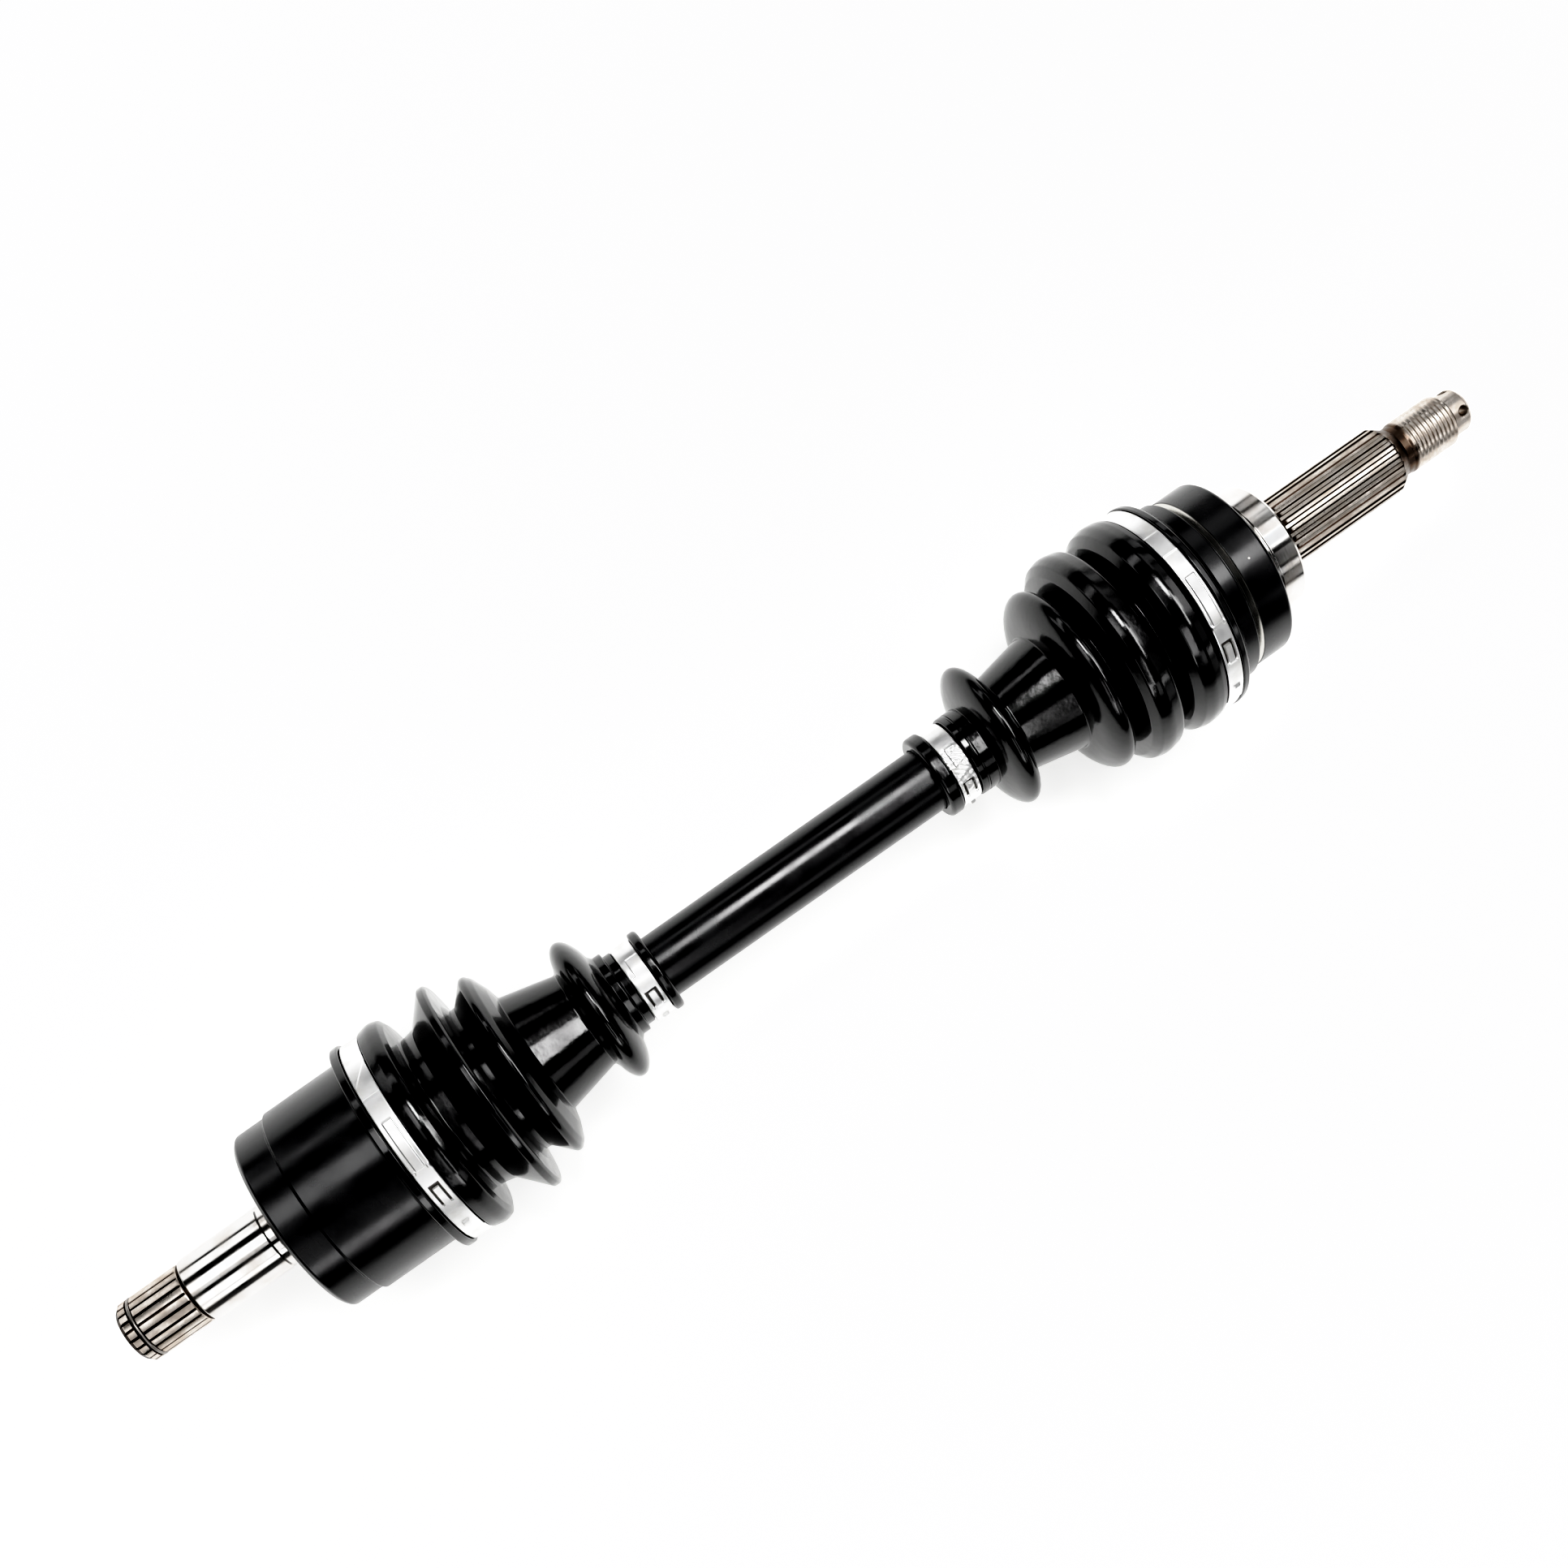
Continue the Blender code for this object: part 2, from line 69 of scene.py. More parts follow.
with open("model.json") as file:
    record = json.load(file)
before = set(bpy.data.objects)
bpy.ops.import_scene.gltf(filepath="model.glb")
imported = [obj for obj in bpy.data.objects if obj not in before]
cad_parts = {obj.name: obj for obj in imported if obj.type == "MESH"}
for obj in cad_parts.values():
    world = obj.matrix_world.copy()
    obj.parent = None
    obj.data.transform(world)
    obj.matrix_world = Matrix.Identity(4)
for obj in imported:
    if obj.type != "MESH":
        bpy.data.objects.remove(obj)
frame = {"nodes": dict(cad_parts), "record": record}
cad_low, cad_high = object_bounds()


def span(node):
    """A CAD node's two ends along X."""
    low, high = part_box(node)
    return low.x / MM, high.x / MM


def middle(node):
    """The centre of a CAD node's box, in metres."""
    low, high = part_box(node)
    return (low + high) / 2


# Places and sizes that the pieces share
GEARBOX_END, WHEEL_END = (edge / MM for edge in (cad_low.x, cad_high.x))
FLOOR_Z = cad_low.z
BAR_RADIUS = 11.1
BAR_END_RADIUS = 9.3
BOOT_BORE = 11.4
WHEEL_CENTRE = middle("wheel_joint_cage").x / MM
GEARBOX_CENTRE = middle("gearbox_joint_cage").x / MM
TRACK_CLEARANCE = 0.9

WHEEL_BALL_RADIUS = 6.75
WHEEL_BALL_CIRCLE = 20.8
WHEEL_BALL_SEAT = 25.1
BELL_RADIUS = 31.2
BELL_MOUTH_RADIUS = 32.4
BELL_BACK_X = 172.3
BELL_GROOVE_RADIUS = 29.6
BELL_LAND_X = (158.9, 160.6)
COLLAR_RADIUS = 21.7
COLLAR_FACE_X = 185.0
WHEEL_SPLINE_RADIUS = 11.7
WHEEL_SPLINE_END = 236.8
UNDERCUT_RADIUS = 8.6
THREAD_START = 240.2
THREAD_RADIUS = 9.0
THREAD_END = 256.8
THREAD_PITCH = 1.5
NOSE_RADIUS = 7.4
COTTER_HOLE_RADIUS = 1.6
COTTER_HOLE_X = 260.6

GEARBOX_BALL_RADIUS = 7.15
GEARBOX_BALL_CIRCLE = 22.0
CUP_BORE = 25.9
CUP_RADIUS = 34.4
CUP_BACK_RADIUS = 33.35
CUP_MOUTH_X = -144.5
CUP_STEP_X = -188.3
CUP_BACK_X = -200.6
STUB_RADIUS = 11.65
STUB_BACK_X = -204.8
GEARBOX_SPLINE_RADIUS = 10.9
GEARBOX_SPLINE_START = -239.4
STUB_CLIP_X = middle("gearbox_stub_circlip").x / MM
STOP_RING_X = middle("gearbox_cup_stop_ring").x / MM


# ---------------------------------------------------------------- outlines


def rounded(corners):
    """An outline's points. A corner is (x, radius) or (x, radius, fillet), and a fillet is an arc."""
    points = []
    for number, corner in enumerate(corners):
        here = Vector(corner[:2])
        inner = 0 < number < len(corners) - 1
        if len(corner) < 3 or not inner:
            points.append(tuple(here))
            continue
        before = Vector(corners[number - 1][:2]) - here
        after = Vector(corners[number + 1][:2]) - here
        half = before.angle(after) / 2
        if half > math.radians(89):
            points.append(tuple(here))
            continue
        reach = min(corner[2] / math.tan(half), 0.49 * min(before.length, after.length))
        radius = reach * math.tan(half)
        before.normalize()
        after.normalize()
        centre = here + (before + after).normalized() * (radius / math.sin(half))
        start = here + before * reach - centre
        first = math.atan2(start.y, start.x)
        stop = here + after * reach - centre
        sweep = (math.atan2(stop.y, stop.x) - first + math.pi) % TURN - math.pi
        steps = max(2, math.ceil(abs(sweep) / ARC_STEP))
        for step in range(steps + 1):
            angle = first + sweep * step / steps
            points.append((centre.x + radius * math.cos(angle), centre.y + radius * math.sin(angle)))
    return points


def arch(low, high, peak, fullness=0.7, steps=18):
    """Points over a fold of a bellows, from one (x, radius) to the other, up to a peak radius.

    A fullness of 1 is half an ellipse, and 0 is half a sine wave.
    """
    points = []
    height = peak - (low[1] + high[1]) / 2
    for step in range(1, steps):
        angle = math.pi * step / steps
        share = fullness * (1 - math.cos(angle)) / 2 + (1 - fullness) * angle / math.pi
        x = low[0] + (high[0] - low[0]) * share
        base = low[1] + (high[1] - low[1]) * share
        points.append((x, base + height * math.sin(angle)))
    return points


def smooth(value, low, high):
    """0 below low and 1 above high, with an even curve between."""
    share = np.clip((value - low) / (high - low), 0.0, 1.0)
    return share * share * (3 - 2 * share)


def from_nearest_ball(angles):
    """How far each angle is from the nearest ball's."""
    pitch = TURN / BALL_COUNT
    return angles % pitch - pitch / 2


def curved_track(x, angles, circle, tube):
    """The outer radius of ball tracks that curve round the joint's centre, or 0 beside them.

    Each track is a tube bent into a circle, and its equation is a quadratic in the radius squared.
    """
    across = from_nearest_ball(angles)
    a = x * x + circle * circle - tube * tube
    half_b = 2 * (circle * np.cos(across)) ** 2 - a
    inside_root = half_b * half_b - (a * a - 4 * circle * circle * x * x)
    squared = half_b + np.sqrt(np.maximum(inside_root, 0.0))
    return np.where(inside_root < 0, 0.0, np.sqrt(np.maximum(squared, 0.0)))


def straight_track(angles, circle, tube):
    """The outer radius of ball tracks that run along X, or 0 beside them."""
    across = from_nearest_ball(angles)
    inside_root = tube * tube - (circle * np.sin(across)) ** 2
    radius = circle * np.cos(across) + np.sqrt(np.maximum(inside_root, 0.0))
    return np.where(inside_root < 0, 0.0, radius)


# ---------------------------------------------------------------- meshes


def full_turn(columns=COLUMNS):
    """Even angles all the way round."""
    return np.arange(columns) * TURN / columns


def finished(name, mesh, material):
    """A smooth-shaded object from a mesh, with sharp edges kept and doubled points joined."""
    bm = bmesh.new()
    bm.from_mesh(mesh)
    bmesh.ops.remove_doubles(bm, verts=bm.verts, dist=MERGE_DISTANCE)
    bmesh.ops.recalc_face_normals(bm, faces=bm.faces)
    bm.to_mesh(mesh)
    bm.free()
    mesh.shade_smooth()
    mesh.set_sharp_from_angle(angle=SHARP_ANGLE)
    mesh.materials.append(material)
    piece = bpy.data.objects.new(name, mesh)
    bpy.context.scene.collection.objects.link(piece)
    weighted = piece.modifiers.new("weighted_normals", "WEIGHTED_NORMAL")
    weighted.keep_sharp = True
    return piece


def turned(name, rows, material, angles=None, ring=False):
    """A body turned about X from (x, radius) rows, whose numbers may differ from angle to angle.

    A ring joins its last row to its first, and any other body starts and ends at radius 0.
    """
    angles = full_turn() if angles is None else angles
    grid = np.empty((len(rows), len(angles), 3))
    for points, (x, radius) in zip(grid, rows):
        points[:, 0] = x
        points[:, 1] = radius * np.sin(angles)
        points[:, 2] = radius * np.cos(angles)
    index = np.arange(grid.shape[0] * grid.shape[1]).reshape(grid.shape[:2])
    below = index if ring else index[:-1]
    above = np.roll(index, -1, axis=0) if ring else index[1:]
    corners = [below, np.roll(below, -1, axis=1), np.roll(above, -1, axis=1), above]
    quads = np.stack(corners, axis=-1).reshape(-1, 4)
    mesh = bpy.data.meshes.new(name)
    mesh.from_pydata((grid * MM).reshape(-1, 3).tolist(), [], quads.tolist())
    return finished(name, mesh, material)


def splined(stations, teeth, outer, root, land, flank, top, run_out):
    """Rows and angles of a splined shaft. land and flank are shares of the space from tooth to tooth.

    top(x) cuts the teeth down and run_out(x) fills up their roots.
    """
    edge = land / 2
    foot = edge + flank
    half = [0.0, edge / 2, edge * 0.9, edge, edge + flank / 3, edge + flank * 2 / 3, foot]
    half += [foot + (0.5 - foot) * 0.15, (foot + 0.5) / 2]
    one_tooth = np.array(half + [0.5] + [1.0 - share for share in half[:0:-1]])
    angles = np.concatenate([(number + one_tooth) / teeth for number in range(teeth)]) * TURN
    away = np.abs((angles * teeth / TURN + 0.5) % 1.0 - 0.5)
    radii = outer + (root - outer) * smooth(away, edge, foot)
    rows = [(x, np.minimum(top(x), np.maximum(radii, run_out(x)))) for x in stations]
    return rows, angles


# ---------------------------------------------------------------- materials


class Paintbox:
    """Makes one material's nodes. Sockets are given as numbers, colours or other nodes' outputs."""

    def __init__(self, name, colour, roughness, metallic):
        self.material = bpy.data.materials.new(name)
        self.material.use_nodes = True
        self.tree = self.material.node_tree
        self.shader = self.tree.nodes["Principled BSDF"]
        self.set(self.shader, {"Base Color": colour, "Roughness": roughness, "Metallic": metallic})
        self.position = self.add("ShaderNodeTexCoord").outputs["Object"]

    def set(self, node, sockets):
        for key, value in sockets.items():
            socket = node.inputs[key]
            if isinstance(value, bpy.types.NodeSocket):
                self.tree.links.new(value, socket)
            elif isinstance(value, tuple) and len(value) == 3 and socket.type == "RGBA":
                socket.default_value = (*value, 1.0)
            else:
                socket.default_value = value

    def add(self, kind, sockets=None, **settings):
        node = self.tree.nodes.new(kind)
        for key, value in settings.items():
            setattr(node, key, value)
        self.set(node, sockets or {})
        return node

    def math(self, operation, first, second=0.0):
        node = self.add("ShaderNodeMath", {0: first, 1: second}, operation=operation)
        return node.outputs[0]

    def stretched(self, x, across):
        """The place on the piece with X and the other two directions scaled, for grain."""
        node = self.add("ShaderNodeMapping", {"Vector": self.position, "Scale": (x, across, across)})
        return node.outputs["Vector"]

    def noise(self, size, detail=2.0, roughness=0.5, position=None):
        """Soft noise whose blotches are about size millimetres."""
        sockets = {
            "Vector": self.position if position is None else position,
            "Scale": 1.0 / (size * MM),
            "Detail": detail,
            "Roughness": roughness,
        }
        return self.add("ShaderNodeTexNoise", sockets).outputs["Fac"]

    def spots(self, size):
        """The distance to the nearest of many scattered points, in units of their spacing."""
        sockets = {"Vector": self.position, "Scale": 1.0 / (size * MM)}
        return self.add("ShaderNodeTexVoronoi", sockets).outputs["Distance"]

    def ramp(self, value, low, high, out_low=0.0, out_high=1.0):
        """A smooth change from out_low, where value is low, to out_high, where it's high."""
        sockets = {
            "Value": value,
            "From Min": low,
            "From Max": high,
            "To Min": out_low,
            "To Max": out_high,
        }
        node = self.add("ShaderNodeMapRange", sockets, interpolation_type="SMOOTHSTEP")
        return node.outputs["Result"]

    def blend(self, share, first, second):
        """A colour between two colours."""
        node = self.add("ShaderNodeMix", data_type="RGBA")
        # A Mix node has a set of sockets for each data type, and these are the colour ones
        self.set(node, {0: share, 6: first, 7: second})
        return node.outputs[2]

    def coordinate(self, axis):
        """The place along one axis, in millimetres."""
        parts = self.add("ShaderNodeSeparateXYZ", {"Vector": self.position})
        return self.math("MULTIPLY", parts.outputs[axis], 1.0 / MM)

    def radius(self):
        """The distance from the axle's centreline, in millimetres."""
        y = self.coordinate("Y")
        z = self.coordinate("Z")
        squares = self.math("ADD", self.math("MULTIPLY", y, y), self.math("MULTIPLY", z, z))
        return self.math("SQRT", squares)

    def bumps(self, *layers):
        """Surface relief from (height, depth in millimetres) layers, laid one over another."""
        normal = None
        for height, depth in layers:
            node = self.add("ShaderNodeBump", {"Height": height, "Distance": depth * MM})
            if normal is not None:
                self.set(node, {"Normal": normal})
            normal = node.outputs["Normal"]
        self.set(self.shader, {"Normal": normal})


def painted(box):
    """The sockets of semi-gloss black paint on a forging: dust, and faint changes in its gloss."""
    cloud = box.noise(14.0, detail=4.0)
    dust = box.ramp(box.spots(2.6), 0.10, 0.03)
    dusty = box.math("MULTIPLY", dust, box.ramp(cloud, 0.45, 0.75, 0.0, 0.5))
    tint = box.blend(box.ramp(cloud, 0.35, 0.7), (0.003, 0.003, 0.004), (0.007, 0.007, 0.008))
    gloss = box.math("ADD", box.ramp(cloud, 0.3, 0.75, 0.20, 0.30), box.math("MULTIPLY", dusty, 0.2))
    return box.blend(dusty, tint, (0.05, 0.048, 0.045)), gloss


def orange_peel(box):
    """The relief of sprayed paint."""
    return (box.noise(1.6, detail=1.0), 0.010), (box.noise(0.35, detail=1.0), 0.002)


def black_paint():
    """Semi-gloss black paint."""
    box = Paintbox("black_paint", (0.006, 0.006, 0.007), 0.2, 0.0)
    colour, gloss = painted(box)
    box.set(box.shader, {"Base Color": colour, "Roughness": gloss, "Specular IOR Level": 0.8})
    box.bumps(*orange_peel(box))
    return box.material


def bell_paint():
    """The bell's paint: its groove's chamfer is bare, and one small chip shows bright steel."""
    box = Paintbox("bell_black_paint", (0.006, 0.006, 0.007), 0.2, 0.0)
    colour, gloss = painted(box)
    chip_centre = tuple(value * MM for value in (165.2, -1.3, BELL_RADIUS))
    away = box.add(
        "ShaderNodeVectorMath", {0: box.position, 1: chip_centre}, operation="DISTANCE"
    ).outputs["Value"]
    ragged = box.math("ADD", away, box.math("MULTIPLY", box.noise(0.9), 0.7 * MM))
    chip = box.ramp(ragged, 0.80 * MM, 0.66 * MM, 0.0, 0.5)
    x = box.coordinate("X")
    land = box.math(
        "MULTIPLY",
        box.ramp(x, BELL_LAND_X[0] + 0.1, BELL_LAND_X[0] + 0.3),
        box.ramp(x, BELL_LAND_X[1] - 0.15, BELL_LAND_X[1] - 0.35),
    )
    bare = box.math("MAXIMUM", chip, land)
    box.set(
        box.shader,
        {
            "Base Color": box.blend(bare, colour, (0.58, 0.57, 0.54)),
            "Metallic": bare,
            "Roughness": gloss,
            "Specular IOR Level": 0.8,
        },
    )
    box.bumps(*orange_peel(box), (chip, -0.05))
    return box.material


def boot_rubber():
    """Moulded black rubber: satin skin with fine grain, and a faint grey bloom here and there."""
    box = Paintbox("boot_rubber", (0.008, 0.008, 0.008), 0.3, 0.0)
    cloud = box.noise(11.0, detail=5.0, roughness=0.6)
    bloom = box.ramp(cloud, 0.5, 0.8, 0.0, 0.6)
    specks = box.math("MULTIPLY", box.ramp(box.spots(3.4), 0.07, 0.02), 0.35)
    skin = box.blend(bloom, (0.004, 0.004, 0.0045), (0.011, 0.0105, 0.010))
    box.set(
        box.shader,
        {
            "Base Color": box.blend(specks, skin, (0.07, 0.068, 0.064)),
            "Roughness": box.ramp(cloud, 0.3, 0.75, 0.12, 0.20),
            "Specular IOR Level": 0.85,
        },
    )
    box.bumps((box.noise(5.0, detail=2.0), 0.07), (box.noise(0.9, detail=2.0), 0.012))
    return box.material


def clamp_steel(name, floor_radius):
    """Bright band steel, brushed round its length. Below floor_radius it's painted dark: in the slots,
    for the black boot under the cut band and painted shade down in them, and on the band's lower side
    edges, as painted contact shade.
    """
    box = Paintbox(name, (0.83, 0.83, 0.82), 0.4, 1.0)
    grain = box.noise(1.0, detail=3.0, position=box.stretched(9.0, 0.35))
    smudge = box.noise(5.0, detail=3.0)
    tint = box.blend(box.ramp(smudge, 0.4, 0.75), (0.90, 0.90, 0.90), (0.80, 0.795, 0.78))
    # Painted shade: dark below floor_radius, down in the slots (there also standing for the black boot
    # under the band) and on the band's lower side edges
    dark_slot_and_edge_shade = box.ramp(box.radius(), floor_radius + 0.42, floor_radius + 0.22)
    box.set(
        box.shader,
        {
            "Base Color": box.blend(dark_slot_and_edge_shade, tint, (0.10, 0.095, 0.09)),
            "Roughness": box.ramp(smudge, 0.3, 0.7, 0.34, 0.46),
        },
    )
    box.bumps((grain, 0.006), (box.noise(2.2, detail=1.0), 0.02))
    return box.material


def machined_steel(name, painted_shade_radii, stain_x=(1.0, 2.0)):
    """Turned and cut steel with oil and rust tints.

    It's painted dark between two radii, as shade down tooth flanks, grooves and holes, and stained
    between two places along X.
    The default places are out on the bar, so that nothing is stained.
    """
    box = Paintbox(name, (0.5, 0.46, 0.42), 0.3, 1.0)
    cloud = box.noise(6.0, detail=5.0, roughness=0.65)
    streaks = box.noise(1.4, detail=3.0, position=box.stretched(0.12, 1.0))
    warm = box.blend(box.ramp(cloud, 0.35, 0.7), (0.66, 0.62, 0.58), (0.48, 0.42, 0.37))
    oily = box.blend(box.ramp(streaks, 0.45, 0.7, 0.0, 0.5), warm, (0.38, 0.33, 0.28))
    radius = box.radius()
    low, high = painted_shade_radii
    soft = 0.06
    # Painted shade: dark between the two radii, where flanks, grooves and holes lie in shade
    flank = box.math(
        "MULTIPLY", box.ramp(radius, low - soft, low), box.ramp(radius, high + soft, high)
    )
    x = box.math("ADD", box.coordinate("X"), box.math("MULTIPLY", cloud, 3.0))
    stain = box.math(
        "MULTIPLY",
        box.ramp(x, stain_x[0], stain_x[0] + 3.0),
        box.ramp(x, stain_x[1] + 1.5, stain_x[1]),
    )
    grimy = box.blend(box.math("MULTIPLY", stain, 0.9), oily, (0.075, 0.05, 0.035))
    # The base colour lays the painted shade over the stained and oily steel
    box.set(
        box.shader,
        {
            "Base Color": box.blend(flank, grimy, (0.045, 0.034, 0.028)),
            "Roughness": box.ramp(cloud, 0.3, 0.75, 0.24, 0.42),
        },
    )
    turning = box.noise(0.22, detail=2.0, position=box.stretched(1.0, 0.02))
    box.bumps((turning, 0.006), (cloud, 0.01))
    return box.material


def ground_steel():
    """Fine ground steel: near-mirror, with grinding lines that run round it."""
    box = Paintbox("ground_steel", (0.66, 0.65, 0.63), 0.13, 1.0)
    cloud = box.noise(9.0, detail=3.0)
    grinding = box.noise(0.25, detail=3.0, position=box.stretched(1.0, 0.02))
    tint = box.blend(box.ramp(cloud, 0.4, 0.7), (0.70, 0.69, 0.68), (0.60, 0.57, 0.54))
    box.set(
        box.shader,
        {"Base Color": tint, "Roughness": box.ramp(cloud, 0.3, 0.7, 0.10, 0.18)},
    )
    box.bumps((grinding, 0.0035))
    return box.material


def bearing_steel():
    """Hardened and polished steel under a thin film of grease."""
    box = Paintbox("bearing_steel_polished", (0.62, 0.62, 0.63), 0.12, 1.0)
    film = box.noise(5.0, detail=4.0)
    tint = box.blend(box.ramp(film, 0.4, 0.7), (0.64, 0.64, 0.65), (0.46, 0.42, 0.36))
    box.set(
        box.shader,
        {"Base Color": tint, "Roughness": box.ramp(film, 0.35, 0.7, 0.08, 0.22)},
    )
    box.bumps((film, 0.01))
    return box.material


def spring_steel():
    """Drawn spring wire with a dull oxide skin."""
    box = Paintbox("spring_steel_wire", (0.3, 0.29, 0.27), 0.35, 1.0)
    cloud = box.noise(2.0, detail=4.0)
    tint = box.blend(cloud, (0.42, 0.41, 0.40), (0.20, 0.18, 0.16))
    box.set(
        box.shader,
        {"Base Color": tint, "Roughness": box.ramp(cloud, 0.3, 0.7, 0.28, 0.45)},
    )
    box.bumps((cloud, 0.01))
    return box.material


# ---------------------------------------------------------------- pieces


def place(piece, body, slot, *nodes):
    """Puts a finished piece on its body, in place of CAD nodes."""
    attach(piece, body)
    if nodes:
        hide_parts(*nodes)
    return piece


def axle_bar(material):
    """The painted bar, with a seat, shoulder and clip groove at each end inside the joints."""
    tip = 13.0
    clip = 10.2
    clip_half_width = 0.9
    clip_floor = 8.3
    neck = 26.0

    def end(centre, outward):
        offsets = [
            (tip, 0.0),
            (tip, BAR_END_RADIUS, 1.0),
            (clip + clip_half_width, BAR_END_RADIUS, 0.1),
            (clip + clip_half_width, clip_floor, 0.1),
            (clip - clip_half_width, clip_floor, 0.1),
            (clip - clip_half_width, BAR_END_RADIUS, 0.1),
            (-neck, BAR_END_RADIUS, 4.0),
            (-neck - 5.0, BAR_RADIUS, 4.0),
        ]
        return [(centre + outward * offset, *rest) for offset, *rest in offsets]

    corners = end(WHEEL_CENTRE, 1) + end(GEARBOX_CENTRE, -1)[::-1]
    bar = turned("bar", rounded(corners), material)
    place(bar, "shaft", "black_paint", "axle_bar")


def bell(paint):
    """The painted bell with its ball tracks inside."""
    mouth_x = span("wheel_joint_bell")[0]
    mouth_bore = 23.8
    groove_front = 158.3
    ring_back = 157.6
    tube = WHEEL_BALL_RADIUS + TRACK_CLEARANCE
    angles = full_turn(BALL_COUNT * COLUMNS_PER_BALL)
    outside = rounded(
        [
            (BELL_BACK_X + 1.4, 0.0),
            (BELL_BACK_X + 1.4, COLLAR_RADIUS - 0.4),
            (BELL_BACK_X + 0.4, COLLAR_RADIUS + 1.4, 0.9),
            (BELL_BACK_X - 0.1, BELL_RADIUS - 1.8, 1.5),
            (BELL_BACK_X - 1.1, BELL_RADIUS, 1.3),
            (BELL_LAND_X[1], BELL_RADIUS, 0.15),
            (BELL_LAND_X[0], BELL_GROOVE_RADIUS, 0.2),
            (groove_front, BELL_GROOVE_RADIUS, 0.2),
            (ring_back, BELL_MOUTH_RADIUS, 0.6),
            (mouth_x, BELL_MOUTH_RADIUS, 1.0),
            (mouth_x, mouth_bore, 0.8),
            (mouth_x + 1.6, mouth_bore),
        ]
    )

    def cavity(offset):
        ball = math.sqrt(max(WHEEL_BALL_SEAT**2 - offset**2, 0.0))
        bore = max(ball, mouth_bore if offset < 0 else 0.0)
        return np.maximum(bore, curved_track(offset, angles, WHEEL_BALL_CIRCLE, tube))

    inside = [(WHEEL_CENTRE + offset, cavity(offset)) for offset in np.arange(-12.4, 15.3, 1.5)]
    floor = [(WHEEL_CENTRE + 18.0, 17.4), (WHEEL_CENTRE + 18.4, 12.0), (WHEEL_CENTRE + 18.6, 0.0)]
    shell = turned("bell", outside + inside + floor, paint, angles=angles)
    place(shell, "wheel_housing", "black_paint", "wheel_joint_bell")


def collar(steel):
    """The turned shoulder behind the bell that seats on the wheel bearing."""
    start = BELL_BACK_X + 1.5
    outline = rounded(
        [
            (start, 0.0),
            (start, COLLAR_RADIUS, 0.4),
            (start + 1.4, COLLAR_RADIUS, 0.3),
            (start + 1.7, COLLAR_RADIUS - 0.25, 0.2),
            (start + 2.5, COLLAR_RADIUS - 0.25, 0.2),
            (start + 2.8, COLLAR_RADIUS, 0.3),
            (COLLAR_FACE_X - 1.1, COLLAR_RADIUS, 0.3),
            (COLLAR_FACE_X, COLLAR_RADIUS - 1.1, 0.3),
            (COLLAR_FACE_X, 13.2, 0.5),
            (COLLAR_FACE_X - 0.3, 12.6, 0.3),
            (COLLAR_FACE_X - 0.3, 0.0),
        ]
    )
    ring = turned("shoulder_collar", outline, steel)
    place(ring, "wheel_housing", "machined_steel", "wheel_joint_bell")


def wheel_spline(steel):
    """The fine spline: its roots run out in a curve at the collar and its tip is chamfered."""
    start = COLLAR_FACE_X - 0.2
    teeth = 23
    land = 0.30
    flank = 0.20
    root = WHEEL_SPLINE_RADIUS - 0.55
    cutter = 18.0
    chamfer_start = WHEEL_SPLINE_END - 4.6
    chamfer_slope = 0.68

    def top(x):
        fillet = 1.3 * (1 - smooth(x, start, start + 2.6))
        chamfer = WHEEL_SPLINE_RADIUS - max(x - chamfer_start, 0.0) * chamfer_slope
        return min(WHEEL_SPLINE_RADIUS + fillet, chamfer + fillet)

    def run_out(x):
        inside = start + 7.0 - x
        return root + (inside * inside / (2 * cutter) if inside > 0 else 0.0)

    near = np.arange(start, start + 8.0, 0.4)
    far = np.arange(chamfer_start, WHEEL_SPLINE_END + 0.01, 0.46)
    stations = [*near, *np.linspace(start + 9.0, chamfer_start - 1.0, 8), *far]
    rows, angles = splined(stations, teeth, WHEEL_SPLINE_RADIUS, root, land, flank, top, run_out)
    rows = [(start, 0.0), *rows, (WHEEL_SPLINE_END, 0.0)]
    stub = turned("wheel_spline", rows, steel, angles=angles)
    place(stub, "wheel_housing", "machined_steel", "wheel_joint_bell")


def thread(steel):
    """The undercut and the thread for the axle nut, cut as one helix that fades at both ends."""
    depth = 0.34
    root_share = 0.10
    flanks_share = 0.76
    samples_per_pitch = 12
    angles = full_turn(96)

    def radii(x):
        phase = (x / THREAD_PITCH - angles / TURN) % 1.0
        height = np.clip((1 - np.abs(2 * phase - 1) - root_share) / flanks_share, 0.0, 1.0)
        fade = float(smooth(x, THREAD_START, THREAD_START + 1.0))
        bevel = max(x - THREAD_END + 1.2, 0.0)
        crest = THREAD_RADIUS - bevel * 1.25
        return np.minimum(crest, THREAD_RADIUS - depth * fade * (1 - height))

    count = int((THREAD_END - THREAD_START) / THREAD_PITCH * samples_per_pitch)
    lead_in = rounded(
        [
            (WHEEL_SPLINE_END - 0.1, 0.0),
            (WHEEL_SPLINE_END - 0.1, UNDERCUT_RADIUS, 0.0001),
            (THREAD_START - 1.2, UNDERCUT_RADIUS, 0.8),
            (THREAD_START - 0.4, THREAD_RADIUS - 0.1, 0.3),
            (THREAD_START, THREAD_RADIUS),
        ]
    )
    helix = [(x, radii(x)) for x in np.linspace(THREAD_START + 0.1, THREAD_END, count)]
    rows = lead_in + helix + [(THREAD_END, 0.0)]
    screw = turned("nut_thread", rows, steel, angles=angles)
    place(screw, "wheel_housing", "machined_steel", "wheel_joint_bell")


